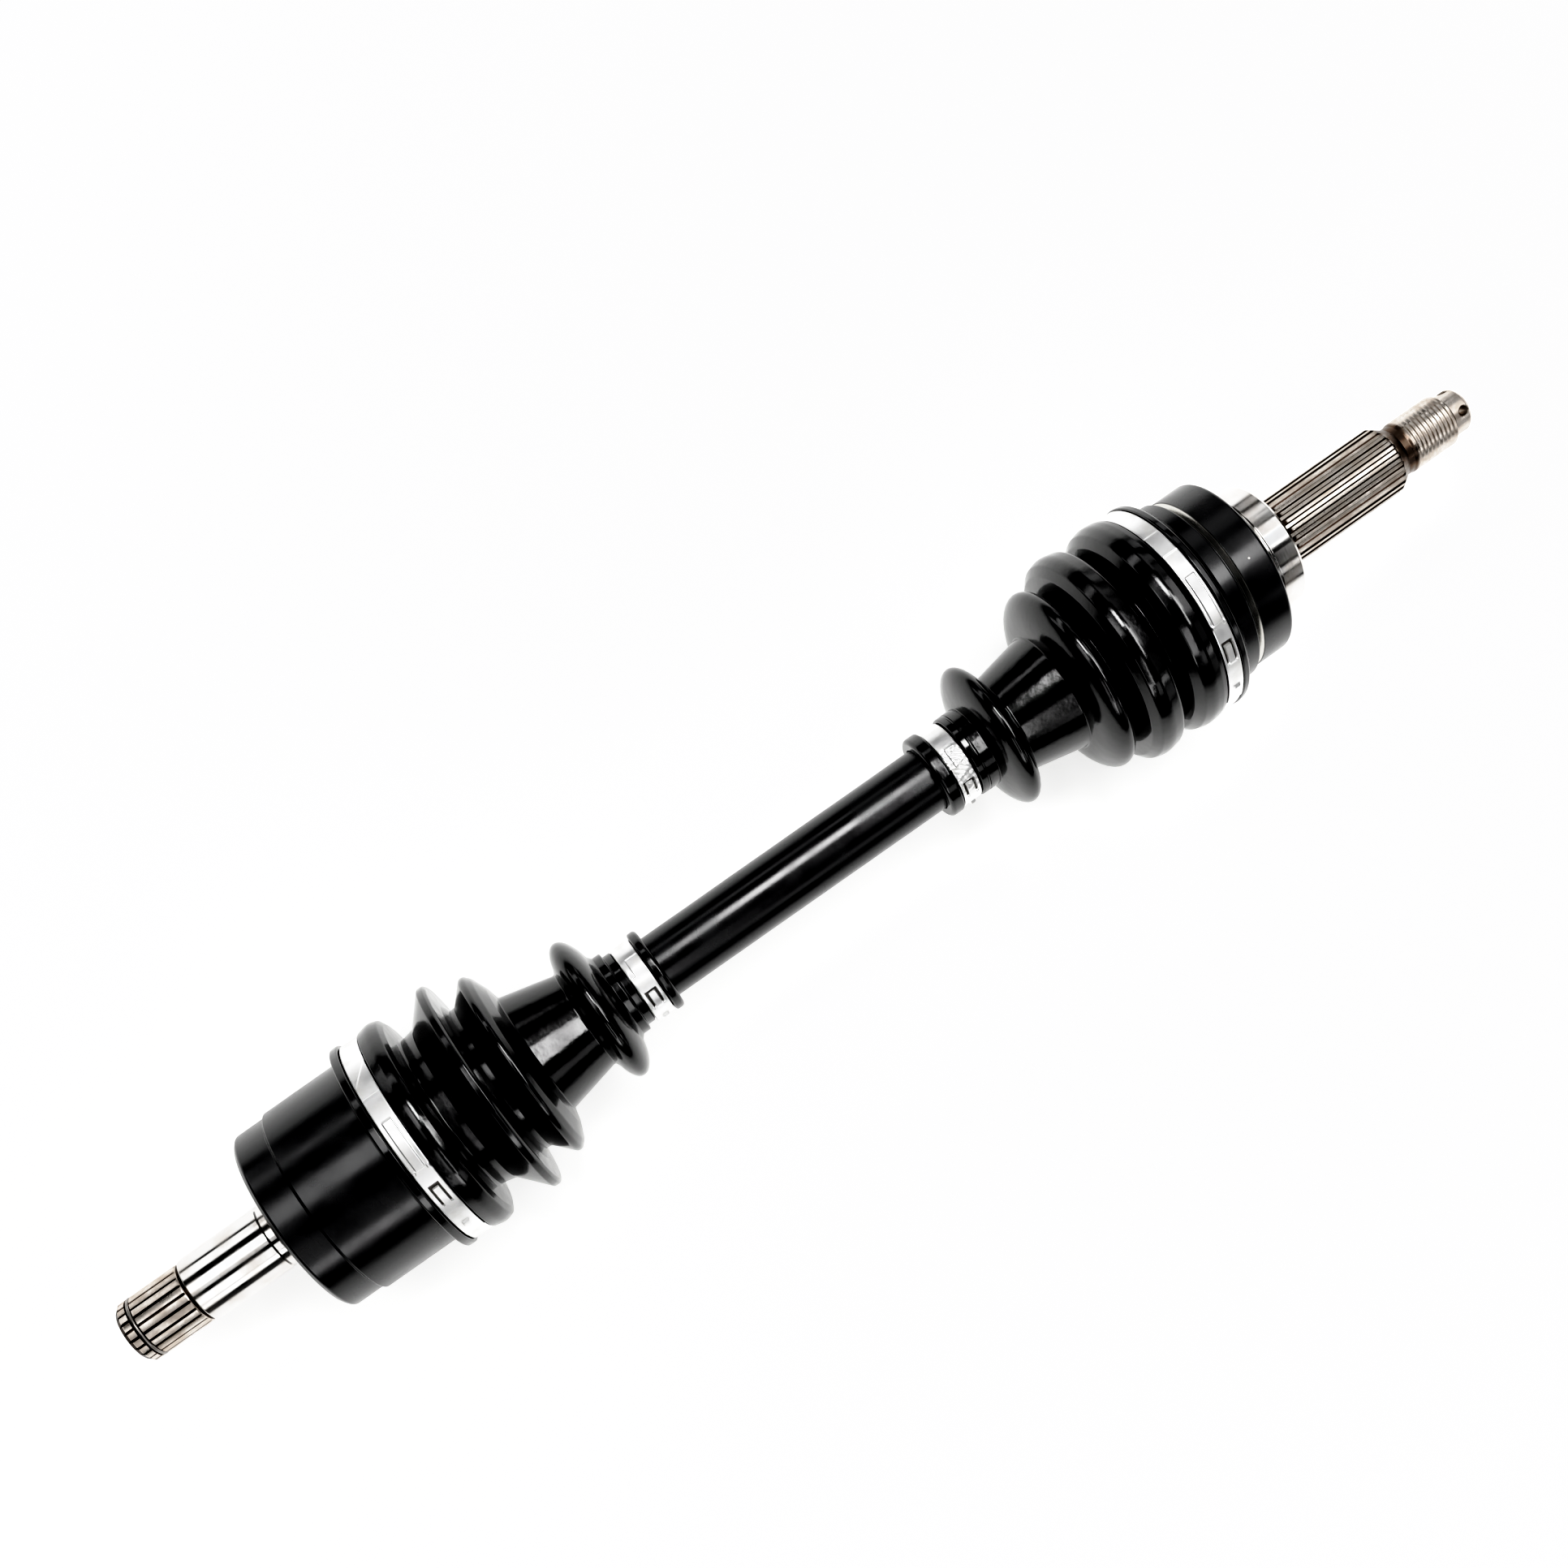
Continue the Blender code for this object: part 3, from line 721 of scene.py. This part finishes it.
def drill(angle):
    """A cutter right across the nose: a hole with a countersink at each end."""
    reach = 10.0
    flare_start = NOSE_RADIUS - 0.55
    outline = [
        (-reach, 0.0),
        (-reach, COTTER_HOLE_RADIUS + reach - flare_start),
        (-flare_start, COTTER_HOLE_RADIUS),
        (flare_start, COTTER_HOLE_RADIUS),
        (reach, COTTER_HOLE_RADIUS + reach - flare_start),
        (reach, 0.0),
    ]
    cutter = turned("cotter_drill", outline, None, angles=full_turn(40))
    cutter.modifiers.clear()
    cutter.rotation_euler = (0.0, -math.pi / 2, 0.0)
    cutter.data.transform(cutter.rotation_euler.to_matrix().to_4x4())
    cutter.rotation_euler = (-angle, 0.0, 0.0)
    cutter.location.x = COTTER_HOLE_X * MM
    return cutter


def nose(steel):
    """The plain nose past the thread, with two cotter pin holes that cross."""
    outline = rounded(
        [
            (THREAD_END - 0.2, 0.0),
            (THREAD_END - 0.2, NOSE_RADIUS, 0.0001),
            (WHEEL_END - 1.9, NOSE_RADIUS, 0.4),
            (WHEEL_END - 0.9, NOSE_RADIUS - 0.8, 0.7),
            (WHEEL_END, 5.2, 0.5),
            (WHEEL_END, 1.7, 0.1),
            (WHEEL_END - 1.2, 0.4, 0.1),
            (WHEEL_END - 1.2, 0.0),
        ]
    )
    hole_angles = (-15.0, 75.0)
    tip = turned("cotter_nose", outline, steel, angles=full_turn(96))
    tip.modifiers.clear()
    for angle in hole_angles:
        cutter = drill(math.radians(angle))
        cut = tip.modifiers.new("hole", "BOOLEAN")
        cut.operation = "DIFFERENCE"
        cut.object = cutter
        bpy.context.view_layer.update()
        cut_mesh = bpy.data.meshes.new_from_object(
            tip.evaluated_get(bpy.context.evaluated_depsgraph_get())
        )
        tip.modifiers.clear()
        tip.data = cut_mesh
        bpy.data.objects.remove(cutter)
    tip.data.shade_smooth()
    tip.data.set_sharp_from_angle(angle=SHARP_ANGLE)
    place(tip, "wheel_housing", "machined_steel", "wheel_joint_bell")


def cup(paint):
    """The painted cup with straight ball tracks and the stop ring's groove in its bore."""
    tube = GEARBOX_BALL_RADIUS + TRACK_CLEARANCE
    angles = full_turn(BALL_COUNT * COLUMNS_PER_BALL)
    floor_x = -195.0
    track = straight_track(angles, GEARBOX_BALL_CIRCLE, tube)
    outside = rounded(
        [
            (STUB_BACK_X + 0.6, 0.0),
            (STUB_BACK_X + 0.6, 14.2, 0.4),
            (CUP_BACK_X - 0.1, CUP_BACK_RADIUS - 1.6, 1.2),
            (CUP_BACK_X + 1.3, CUP_BACK_RADIUS, 1.4),
            (CUP_STEP_X - 0.4, CUP_BACK_RADIUS, 0.35),
            (CUP_STEP_X + 0.5, CUP_RADIUS, 0.45),
            (CUP_MOUTH_X, CUP_RADIUS, 1.0),
            (CUP_MOUTH_X, CUP_BORE + 3.0),
        ]
    )
    groove = [(-1.2, 0.0), (-1.1, 1.3), (1.1, 1.3), (1.2, 0.0)]
    mouth = [(CUP_MOUTH_X, np.maximum(CUP_BORE, track))]
    ring = [
        (STOP_RING_X - offset, np.maximum(CUP_BORE + depth, track)) for offset, depth in groove
    ]
    deep = [(floor_x + 3.0, np.maximum(CUP_BORE, track))]
    floor = [(floor_x, 24.0), (floor_x, 14.0), (floor_x - 2.5, 11.0), (floor_x - 2.5, 0.0)]
    rows = outside + mouth + ring + deep + floor
    shell = turned("cup", rows, paint, angles=angles)
    place(shell, "gearbox_housing", "black_paint", "gearbox_joint_cup")


def ground_stub(steel):
    """The ground seat for the gearbox seal, with a relief beside the cup."""
    outline = rounded(
        [
            (STUB_BACK_X + 0.5, 0.0),
            (STUB_BACK_X + 0.5, 13.4, 0.3),
            (-205.3, 12.9, 0.3),
            (-205.7, 11.2, 0.2),
            (-208.1, 11.2, 0.2),
            (-208.7, STUB_RADIUS, 0.2),
            (-238.4, STUB_RADIUS, 0.5),
            (GEARBOX_SPLINE_START + 0.2, GEARBOX_SPLINE_RADIUS - 0.7, 0.3),
            (GEARBOX_SPLINE_START + 0.2, 0.0),
        ]
    )
    seat = turned("ground_seal_seat", outline, steel)
    place(seat, "gearbox_housing", "machined_steel", "gearbox_joint_cup")


def gearbox_spline(steel):
    """The coarse spline: broad teeth, a circlip groove across them and a chamfered end."""
    teeth = 22
    land = 0.68
    flank = 0.10
    root = GEARBOX_SPLINE_RADIUS - 1.0
    cutter = 5.5
    start = GEARBOX_SPLINE_START + 0.3
    groove_radius = 9.3
    groove_half_width = 0.95
    chamfer = 1.7

    def top(x):
        shoulder = min(start - x, 1.0) * 0.9
        tip = max(GEARBOX_END + chamfer - x, 0.0) * 0.9
        in_groove = abs(x - STUB_CLIP_X) < groove_half_width
        outer = GEARBOX_SPLINE_RADIUS - 0.9 + shoulder - tip
        return min(outer, groove_radius) if in_groove else outer

    def run_out(x):
        inside = x - (start - 4.0)
        return root + (inside * inside / (2 * cutter) if inside > 0 else 0.0)

    stations = [
        *np.arange(start, start - 4.4, -0.4),
        *np.linspace(start - 5.5, STUB_CLIP_X + groove_half_width + 0.05, 6),
        STUB_CLIP_X + groove_half_width - 0.05,
        STUB_CLIP_X - groove_half_width + 0.05,
        STUB_CLIP_X - groove_half_width - 0.05,
        GEARBOX_END + 2.4,
        *np.linspace(GEARBOX_END + chamfer, GEARBOX_END, 5),
    ]
    rows, angles = splined(stations, teeth, GEARBOX_SPLINE_RADIUS, root, land, flank, top, run_out)
    centre_drill = [(GEARBOX_END, 4.0), (GEARBOX_END + 1.2, 2.0), (GEARBOX_END + 1.2, 0.0)]
    rows = [(start, 0.0), *rows, *centre_drill]
    stub = turned("gearbox_spline", rows, steel, angles=angles)
    place(stub, "gearbox_housing", "machined_steel", "gearbox_joint_cup")


def wire_ring(node, name, x, ring_radius, wire_radius, gap_at, material):
    """A ring bent from round wire, with rounded ends and a gap centred gap_at degrees round it."""
    steps = 96
    sides = 14
    gap = math.radians(30.0)
    sweep = TURN - gap
    bm = bmesh.new()
    loops = []
    for step in range(steps + 1):
        angle = math.radians(gap_at) + gap / 2 + sweep * step / steps
        from_end = min(step, steps - step) * sweep / steps * ring_radius
        share = min(from_end / wire_radius, 1.0)
        thickness = wire_radius * math.sqrt(max(1 - (1 - share) ** 2, 0.04))
        loop = []
        for side in range(sides):
            around = TURN * side / sides
            r = ring_radius + thickness * math.sin(around)
            point = (x + thickness * math.cos(around), r * math.sin(angle), r * math.cos(angle))
            loop.append(bm.verts.new(Vector(point) * MM))
        loops.append(loop)
    for one, other in zip(loops, loops[1:]):
        for side in range(sides):
            after = (side + 1) % sides
            bm.faces.new((one[side], one[after], other[after], other[side]))
    bm.faces.new(loops[0])
    bm.faces.new(loops[-1])
    mesh = bpy.data.meshes.new(name)
    bm.to_mesh(mesh)
    bm.free()
    place(finished(name, mesh, material), "gearbox_housing", "spring_steel", node)


def balls(side, body, material):
    """The joint's polished balls, each in its CAD ball's place."""
    for number in range(1, BALL_COUNT + 1):
        node = f"{side}_joint_ball_{number}"
        low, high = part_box(node)
        bm = bmesh.new()
        bmesh.ops.create_icosphere(bm, subdivisions=4, radius=(high.x - low.x) / 2)
        bmesh.ops.translate(bm, verts=bm.verts, vec=(low + high) / 2)
        mesh = bpy.data.meshes.new(node)
        bm.to_mesh(mesh)
        bm.free()
        ball = finished(f"{side}_ball_{number}", mesh, material)
        place(ball, body, "bearing_steel", node)


def gearbox_boot(rubber):
    """The bellows on the gearbox side, in two lengths that meet on the crest of a fold.
    """
    split_x = -124.2
    split_radius = 39.0
    end_x, small_end = span("gearbox_boot")
    bead = arch((-73.9, 14.4), (-85.6, 17.5), 25.9)
    first = [
        (small_end, BOOT_BORE),
        (small_end, 14.8, 1.4),
        (-59.8, 14.8, 0.9),
        (-59.9, 12.7, 0.2),
        (-67.3, 12.7, 0.2),
        (-67.4, 13.3, 0.2),
        (-69.9, 13.3, 0.3),
        (-70.2, 14.9, 0.6),
        (-73.0, 14.9, 0.4),
        *bead,
        (-86.2, 17.4, 0.8),
        (-105.2, 21.8, 0.8),
        (-106.4, 26.6, 2.5),
        (-108.6, 31.8, 3.0),
        (-111.4, 34.9, 1.8),
        (-118.2, 27.4, 0.9),
        (-121.3, 27.2, 0.9),
        (-122.1, 37.8, 1.5),
        (-123.0, split_radius, 0.9),
        (split_x, split_radius),
    ]
    first_inside = [
        (split_x, 36.8),
        (-119.4, 25.2, 1.0),
        (-110.9, 32.4, 2.5),
        (-104.0, 19.6, 1.5),
        (-86.8, 15.4, 1.5),
        (-79.9, 24.4, 3.0),
        (-72.6, 12.4, 1.5),
        (-67.0, BOOT_BORE, 1.0),
        (small_end, BOOT_BORE),
    ]
    second = [
        (split_x, 36.8),
        (split_x, split_radius),
        (-125.0, split_radius, 1.2),
        (-133.4, 29.4, 1.8),
        (-139.4, 28.1, 1.0),
        (-140.0, 35.8, 1.3),
        (-141.2, 38.1, 1.3),
        (-144.2, 39.2, 8.0),
        (-148.4, 38.2, 0.5),
        (-148.5, 36.8, 0.2),
        (-155.9, 36.8, 0.2),
        (-156.0, 38.8, 0.6),
        (-158.8, 38.8, 0.7),
        (end_x, 34.9, 0.5),
        (end_x, CUP_RADIUS + 0.15),
    ]
    second_inside = [
        (end_x, CUP_RADIUS + 0.15),
        (-143.8, CUP_RADIUS + 0.15, 1.0),
        (-140.6, 26.8, 1.5),
        (-133.6, 26.8, 1.5),
        (split_x, 36.8),
    ]
    tilting = turned("gearbox_bellows_inner", rounded(first) + rounded(first_inside), rubber, ring=True)
    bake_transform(tilting)
    sliding = turned("gearbox_bellows_outer", rounded(second) + rounded(second_inside), rubber, ring=True)
    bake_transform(sliding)
    for piece in (tilting, sliding):
        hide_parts("gearbox_boot")


def wheel_boot(rubber):
    """The bellows on the wheel side, in one length."""
    small_end, end_x = span("wheel_boot")
    outside = [
        (small_end, BOOT_BORE),
        (small_end, 14.8, 1.4),
        (54.8, 14.8, 0.9),
        (54.9, 12.7, 0.2),
        (62.2, 12.7, 0.2),
        (62.4, 14.4, 0.7),
        (64.6, 14.5, 0.2),
        (64.8, 14.1, 0.2),
        (65.3, 14.1, 0.2),
        (65.5, 14.5, 0.2),
        (69.2, 14.5, 0.3),
        *arch((69.4, 14.2), (79.9, 17.1), 25.7),
        (80.1, 17.1, 0.8),
        (99.6, 21.0, 0.8),
        *arch((99.8, 21.4), (111.3, 26.4), 32.9),
        (111.4, 26.3, 0.6),
        (114.1, 34.2, 2.0),
        (116.2, 36.9, 1.6),
        (119.4, 38.0, 6.0),
        (124.4, 37.0, 2.4),
        (127.6, 32.6, 2.0),
        (128.5, 27.6, 0.8),
        (130.2, 34.4, 2.0),
        (132.9, 37.0, 1.6),
        (136.2, 38.0, 6.0),
        (139.4, 37.7, 3.0),
        (141.2, 37.2, 0.5),
        (141.3, 36.0, 0.15),
        (147.5, 36.0, 0.15),
        (147.6, 37.4, 0.5),
        (149.6, 37.2, 1.0),
        (end_x, 34.4, 0.7),
        (end_x, BELL_MOUTH_RADIUS + 0.15),
    ]
    inside = [
        (end_x, BELL_MOUTH_RADIUS + 0.15),
        (140.3, BELL_MOUTH_RADIUS + 0.15, 1.0),
        (137.0, 34.8, 2.0),
        (128.8, 25.7, 1.0),
        (120.0, 35.6, 3.0),
        (111.4, 24.4, 1.0),
        (106.2, 31.0, 2.5),
        (100.4, 19.0, 1.5),
        (80.9, 15.2, 1.5),
        (74.9, 24.0, 3.0),
        (69.0, 12.4, 1.5),
        (63.6, BOOT_BORE, 1.0),
        (small_end, BOOT_BORE),
    ]
    boot = turned("wheel_bellows", rounded(outside) + rounded(inside), rubber, ring=True)
    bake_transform(boot)
    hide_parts("wheel_boot")


def pad(angle, across, angles, width, edge=0.25, lean=0.0):
    """A patch, from 0 to 1, between two angles and between two places across the band.

    edge is how wide its sloping border is, in millimetres, and lean slants its upper end.
    """
    usual_radius = 25.0
    blur = edge / usual_radius
    low, high = (math.radians(a) for a in angles)
    top = high + math.radians(lean) * across
    along = smooth(angle, low - blur, low) - smooth(angle, top, top + blur)
    side = smooth(across, width[0] - edge, width[0]) - smooth(across, width[1], width[1] + edge)
    return along * side


def hook_slot(angle, across, angles, half_width, gap):
    """The depth of a three-sided slot round a tongue, as cut where the band hooks together."""
    low, high = angles
    tongue = (gap - half_width, half_width - gap)
    cut = pad(angle, across, angles, (-half_width, half_width), 0.15)
    kept = pad(angle, across, (low - 5.0, high - 2.0), tongue, 0.15)
    return -0.95 * cut * (1 - kept) + 0.12 * cut * kept


def large_lock(across, angle, half, lean=2.2):
    """The relief of a large clamp's lock. across is the place across the band from its middle."""
    full = (-2 * half, 2 * half)
    # The band's outer end lies over its inner one and thins out at its tip
    relief = 0.36 * pad(angle, across, (-66.0, 28.0), full, 0.3)
    relief = relief + 0.15 * pad(angle, across, (28.0, 42.0), full, 0.3, lean)
    # A raised rib down the middle, with a nip at each edge of the band below it
    relief = relief + 0.42 * pad(angle, across, (-13.0, 13.0), (-1.5, 1.5), 0.35)
    for side in (-1, 1):
        nip = side * (half - 0.75)
        relief = relief + 0.4 * pad(angle, across, (-14.6, -13.6), (nip - 0.35, nip + 0.35), 0.3)
    # The hook's slot and a bump past it
    relief = relief + hook_slot(angle, across, (-36.0, -23.6), 1.8, 0.7)
    return relief + 0.75 * pad(angle, across, (-55.0, -53.0), (-0.9, 0.9), 0.7)


def even_large_lock(across, angle, half):
    """The same lock with the band's outer end cut square."""
    return large_lock(across, angle, half, lean=0.0)


def small_lock(across, angle, half):
    """The relief of a small clamp's lock."""
    full = (-2 * half, 2 * half)
    # The band's outer end lies over its inner one, and its tip is cut back on one side
    relief = 0.36 * pad(angle, across, (-105.0, 7.0), full, 0.3)
    relief = relief + 0.36 * pad(angle, across, (7.0, 34.0), (-1.2, 2 * half), 0.3)
    # The hook's slot and a bump past it
    relief = relief + hook_slot(angle, across, (-46.0, -19.0), 2.0, 0.8)
    return relief + 0.85 * pad(angle, across, (-78.0, -72.0), (-0.7, 0.7), 0.8)


def clamp(node, seat, lock, turned_by, body, dents=0.0):
    """A band clamp: a thin strip with its lock's relief pressed into it.

    lock gives that relief, and dents is the depth of the uneven dents on the band's upper side.
    """
    low_x, high_x = span(node)
    gap = 0.25
    thickness = 0.75
    chamfer = 0.15
    half = (high_x - low_x) / 2
    centre = (high_x + low_x) / 2
    # Narrow columns over the lock, and wide ones round the plain back
    fine_step = 20.0 / seat
    fine = np.radians(np.arange(-112.0, 52.0, fine_step))
    coarse = np.radians(np.arange(52.0, 248.0, 2.0))
    angles = np.concatenate([fine, coarse])
    inner = seat + gap
    rows = [(centre - half, inner), (centre - half, inner + thickness - chamfer)]
    for across in np.linspace(-half + 0.1, half - 0.1, 40):
        rounding = 0.12 * smooth(abs(across), half - 0.35, half - 0.1)
        raised = inner + thickness - rounding + lock(across, angles, half)
        over_band = np.sin(across * 1.9 + np.sin(angles * 17.0) * 1.6)
        folds = over_band * np.cos(angles * 29.0 + across * 0.8)
        crumple = dents * folds * smooth(np.cos(angles), 0.75, 0.95)
        rows.append((centre + across, raised + crumple))
    rows += [(centre + half, inner + thickness - chamfer), (centre + half, inner)]
    material = clamp_steel(node + "_steel", inner)
    band = turned(node + "_band", rows, material, angles=angles + math.radians(turned_by), ring=True)
    place(band, body, "clamp_steel", node)


# ---------------------------------------------------------------- studio


def point_camera():
    """A camera high above the axle, rolled so that the axle runs up to the right."""
    data = bpy.data.cameras.new("camera")
    data.sensor_width = 36.0
    data.lens = 41.5
    data.shift_x = 0.045
    data.shift_y = 0.18
    data.clip_start = 0.01
    camera = bpy.data.objects.new("camera", data)
    camera.location = (-0.070, -0.0059, 0.589)
    camera.rotation_euler = [math.radians(angle) for angle in (-1.92, -2.45, -35.0)]
    bpy.context.scene.collection.objects.link(camera)
    bpy.context.scene.camera = camera


def strip_light(name, angles, ends, radiance):
    """A soft box along X, seen from the axle between two angles from straight up towards +Y.

    ends are the places along X of its two ends, in metres.
    """
    distance = 1.1
    low, high = (math.radians(angle) for angle in angles)
    tilt = (low + high) / 2
    data = bpy.data.lights.new(name, "AREA")
    data.shape = "RECTANGLE"
    data.size = ends[1] - ends[0]
    data.size_y = 2 * distance * math.tan((high - low) / 2)
    data.energy = radiance * math.pi * data.size * data.size_y
    lamp = bpy.data.objects.new(name, data)
    lamp.location = (
        (ends[0] + ends[1]) / 2,
        distance * math.sin(tilt),
        distance * math.cos(tilt),
    )
    lamp.rotation_euler = (-tilt, 0.0, 0.0)
    lamp.visible_camera = False
    bpy.context.scene.collection.objects.link(lamp)


def room():
    """A dim room: pale down by the horizon and dark above."""
    world = bpy.data.worlds.new("room")
    world.use_nodes = True
    tree = world.node_tree
    direction = tree.nodes.new("ShaderNodeTexCoord")
    parts = tree.nodes.new("ShaderNodeSeparateXYZ")
    tree.links.new(direction.outputs["Generated"], parts.inputs["Vector"])
    horizon = tree.nodes.new("ShaderNodeMapRange")
    horizon.interpolation_type = "SMOOTHSTEP"
    tree.links.new(parts.outputs["Z"], horizon.inputs["Value"])
    for socket, value in (("From Min", 0.16), ("From Max", 0.30), ("To Min", 1.0), ("To Max", 0.03)):
        horizon.inputs[socket].default_value = value
    tree.links.new(horizon.outputs["Result"], tree.nodes["Background"].inputs["Strength"])
    bpy.context.scene.world = world


def table_top():
    """A white table just under the axle."""
    bpy.ops.mesh.primitive_plane_add(size=14.0, location=(0.0, 0.0, FLOOR_Z))
    table = bpy.context.object
    table.name = "table"
    white = bpy.data.materials.new("white_table")
    white.use_nodes = True
    surface = white.node_tree.nodes["Principled BSDF"]
    surface.inputs["Base Color"].default_value = (0.93, 0.93, 0.925, 1.0)
    surface.inputs["Roughness"].default_value = 0.9
    surface.inputs["Emission Color"].default_value = (1.0, 1.0, 0.99, 1.0)
    surface.inputs["Emission Strength"].default_value = 0.4
    table.data.materials.append(white)


def print_contrast():
    """Deep blacks and clean whites, as on a retouched catalogue picture."""
    settings = bpy.context.scene.view_settings
    settings.view_transform = "Standard"
    settings.use_curve_mapping = True
    curve = settings.curve_mapping.curves[3]
    for shade, shown in ((0.03, 0.003), (0.075, 0.032), (0.12, 0.10), (0.25, 0.31), (0.75, 0.98)):
        curve.points.new(shade, shown)
    settings.curve_mapping.update()


def studio():
    """The room, the table and the soft boxes that the axle mirrors."""
    room()
    table_top()
    print_contrast()
    past_gearbox_end = (-0.80, -0.45)
    past_wheel_end = (0.66, 1.05)
    lamps = (
        # name, angles from straight up towards +Y, ends along X in metres, radiance
        ("main_box", (11.0, 29.0), (0.01, 0.26), 11.0),
        ("main_box_gap", (4.0, 30.0), (-0.22, -0.13), 0.8),
        ("main_box_left", (5.0, 28.0), (-0.45, -0.22), 2.2),
        ("cone_box", (-22.0, 13.0), (0.32, 0.46), 7.5),
        ("bell_box", (-9.0, 8.0), (0.46, 0.66), 4.2),
        ("bell_box_high", (40.0, 64.0), (0.46, 0.66), 0.8),
        ("low_box", (-64.0, -50.0), (-0.45, -0.16), 2.7),
        ("low_box_gap", (-52.0, -22.0), (-0.16, -0.02), 2.4),
        ("low_box_right", (-64.0, -50.0), (0.0, 0.40), 0.9),
        ("high_box", (55.0, 63.0), (-0.45, 0.30), 1.5),
        ("seat_box", (4.0, 30.0), past_gearbox_end, 1.6),
        ("seat_box_middle", (-8.0, 4.0), past_gearbox_end, 0.7),
        ("seat_box_low", (-48.0, -22.0), past_gearbox_end, 1.3),
        ("seat_box_lowest", (-66.0, -50.0), past_gearbox_end, 1.3),
        ("seat_box_high", (52.0, 80.0), past_gearbox_end, 1.1),
        ("stub_box", (-15.0, 27.0), past_wheel_end, 1.6),
        ("stub_box_low", (-64.0, -54.0), past_wheel_end, 1.6),
        ("stub_box_lowest", (-84.0, -68.0), past_wheel_end, 0.5),
        ("stub_box_brown", (-48.0, -24.0), past_wheel_end, 0.35),
        ("stub_box_high", (50.0, 61.0), past_wheel_end, 0.8),
        ("stub_box_dark", (31.0, 46.0), past_wheel_end, 0.5),
        ("stub_box_edge", (72.0, 86.0), past_wheel_end, 0.9),
    )
    for lamp in lamps:
        strip_light(*lamp)


def dress_shown_nodes(steels):
    """Gives the CAD nodes that stay in view the detailed material for their slot."""
    for row in frame["record"]["subparts"]:
        node = frame["nodes"][row["node"]]
        if not node.hide_render:
            node.data.materials.clear()
            node.data.materials.append(steels[row["material_slot"]])


def build():
    """Makes every piece, its material and the studio round it."""
    point_camera()
    studio()
    paint = black_paint()
    rubber = boot_rubber()
    polished = bearing_steel()
    wire = spring_steel()
    ground = ground_steel()
    stained_x = (WHEEL_SPLINE_END - 4.3, THREAD_START + 0.8)

    axle_bar(paint)
    bell(bell_paint())
    collar(ground)
    # Painted shade down the wheel spline's tooth flanks
    flanks = (WHEEL_SPLINE_RADIUS - 0.48, WHEEL_SPLINE_RADIUS - 0.07)
    wheel_spline(machined_steel("wheel_spline_steel", flanks, stained_x))
    # Painted shade below the undercut's floor, which only reaches the thread's end faces
    roots = (0.0, UNDERCUT_RADIUS - 0.3)
    thread(machined_steel("thread_steel", roots, stained_x))
    # Painted shade within 1.9 mm of the centreline: the nose's centre hole and the middle of its cotter
    # holes
    nose(machined_steel("nose_steel", (0.0, 1.9)))
    cup(paint)
    ground_stub(ground)
    # Painted shade in the gearbox spline's roots and circlip groove, and down its flanks and end chamfer
    grooves = (GEARBOX_SPLINE_RADIUS - 2.0, GEARBOX_SPLINE_RADIUS - 0.3)
    gearbox_spline(machined_steel("gearbox_spline_steel", grooves))
    wire_ring("gearbox_stub_circlip", "stub_clip_wire", STUB_CLIP_X, 10.35, 0.65, -160.0, wire)
    wire_ring("gearbox_cup_stop_ring", "cup_stop_wire", STOP_RING_X, 26.05, 0.80, 180.0, wire)
    balls("wheel", "wheel_cage", polished)
    balls("gearbox", "gearbox_cage", polished)
    gearbox_boot(rubber)
    wheel_boot(rubber)
    clamp("gearbox_boot_large_clamp", 36.8, large_lock, 0.0, "gearbox_housing")
    clamp("wheel_boot_large_clamp", 36.0, even_large_lock, -6.0, "wheel_housing")
    clamp("gearbox_boot_small_clamp", 12.7, small_lock, 0.0, "shaft")
    clamp("wheel_boot_small_clamp", 12.7, small_lock, -16.0, "shaft", dents=0.2)
    dress_shown_nodes({"bearing_steel": polished, "spring_steel": wire})


build()
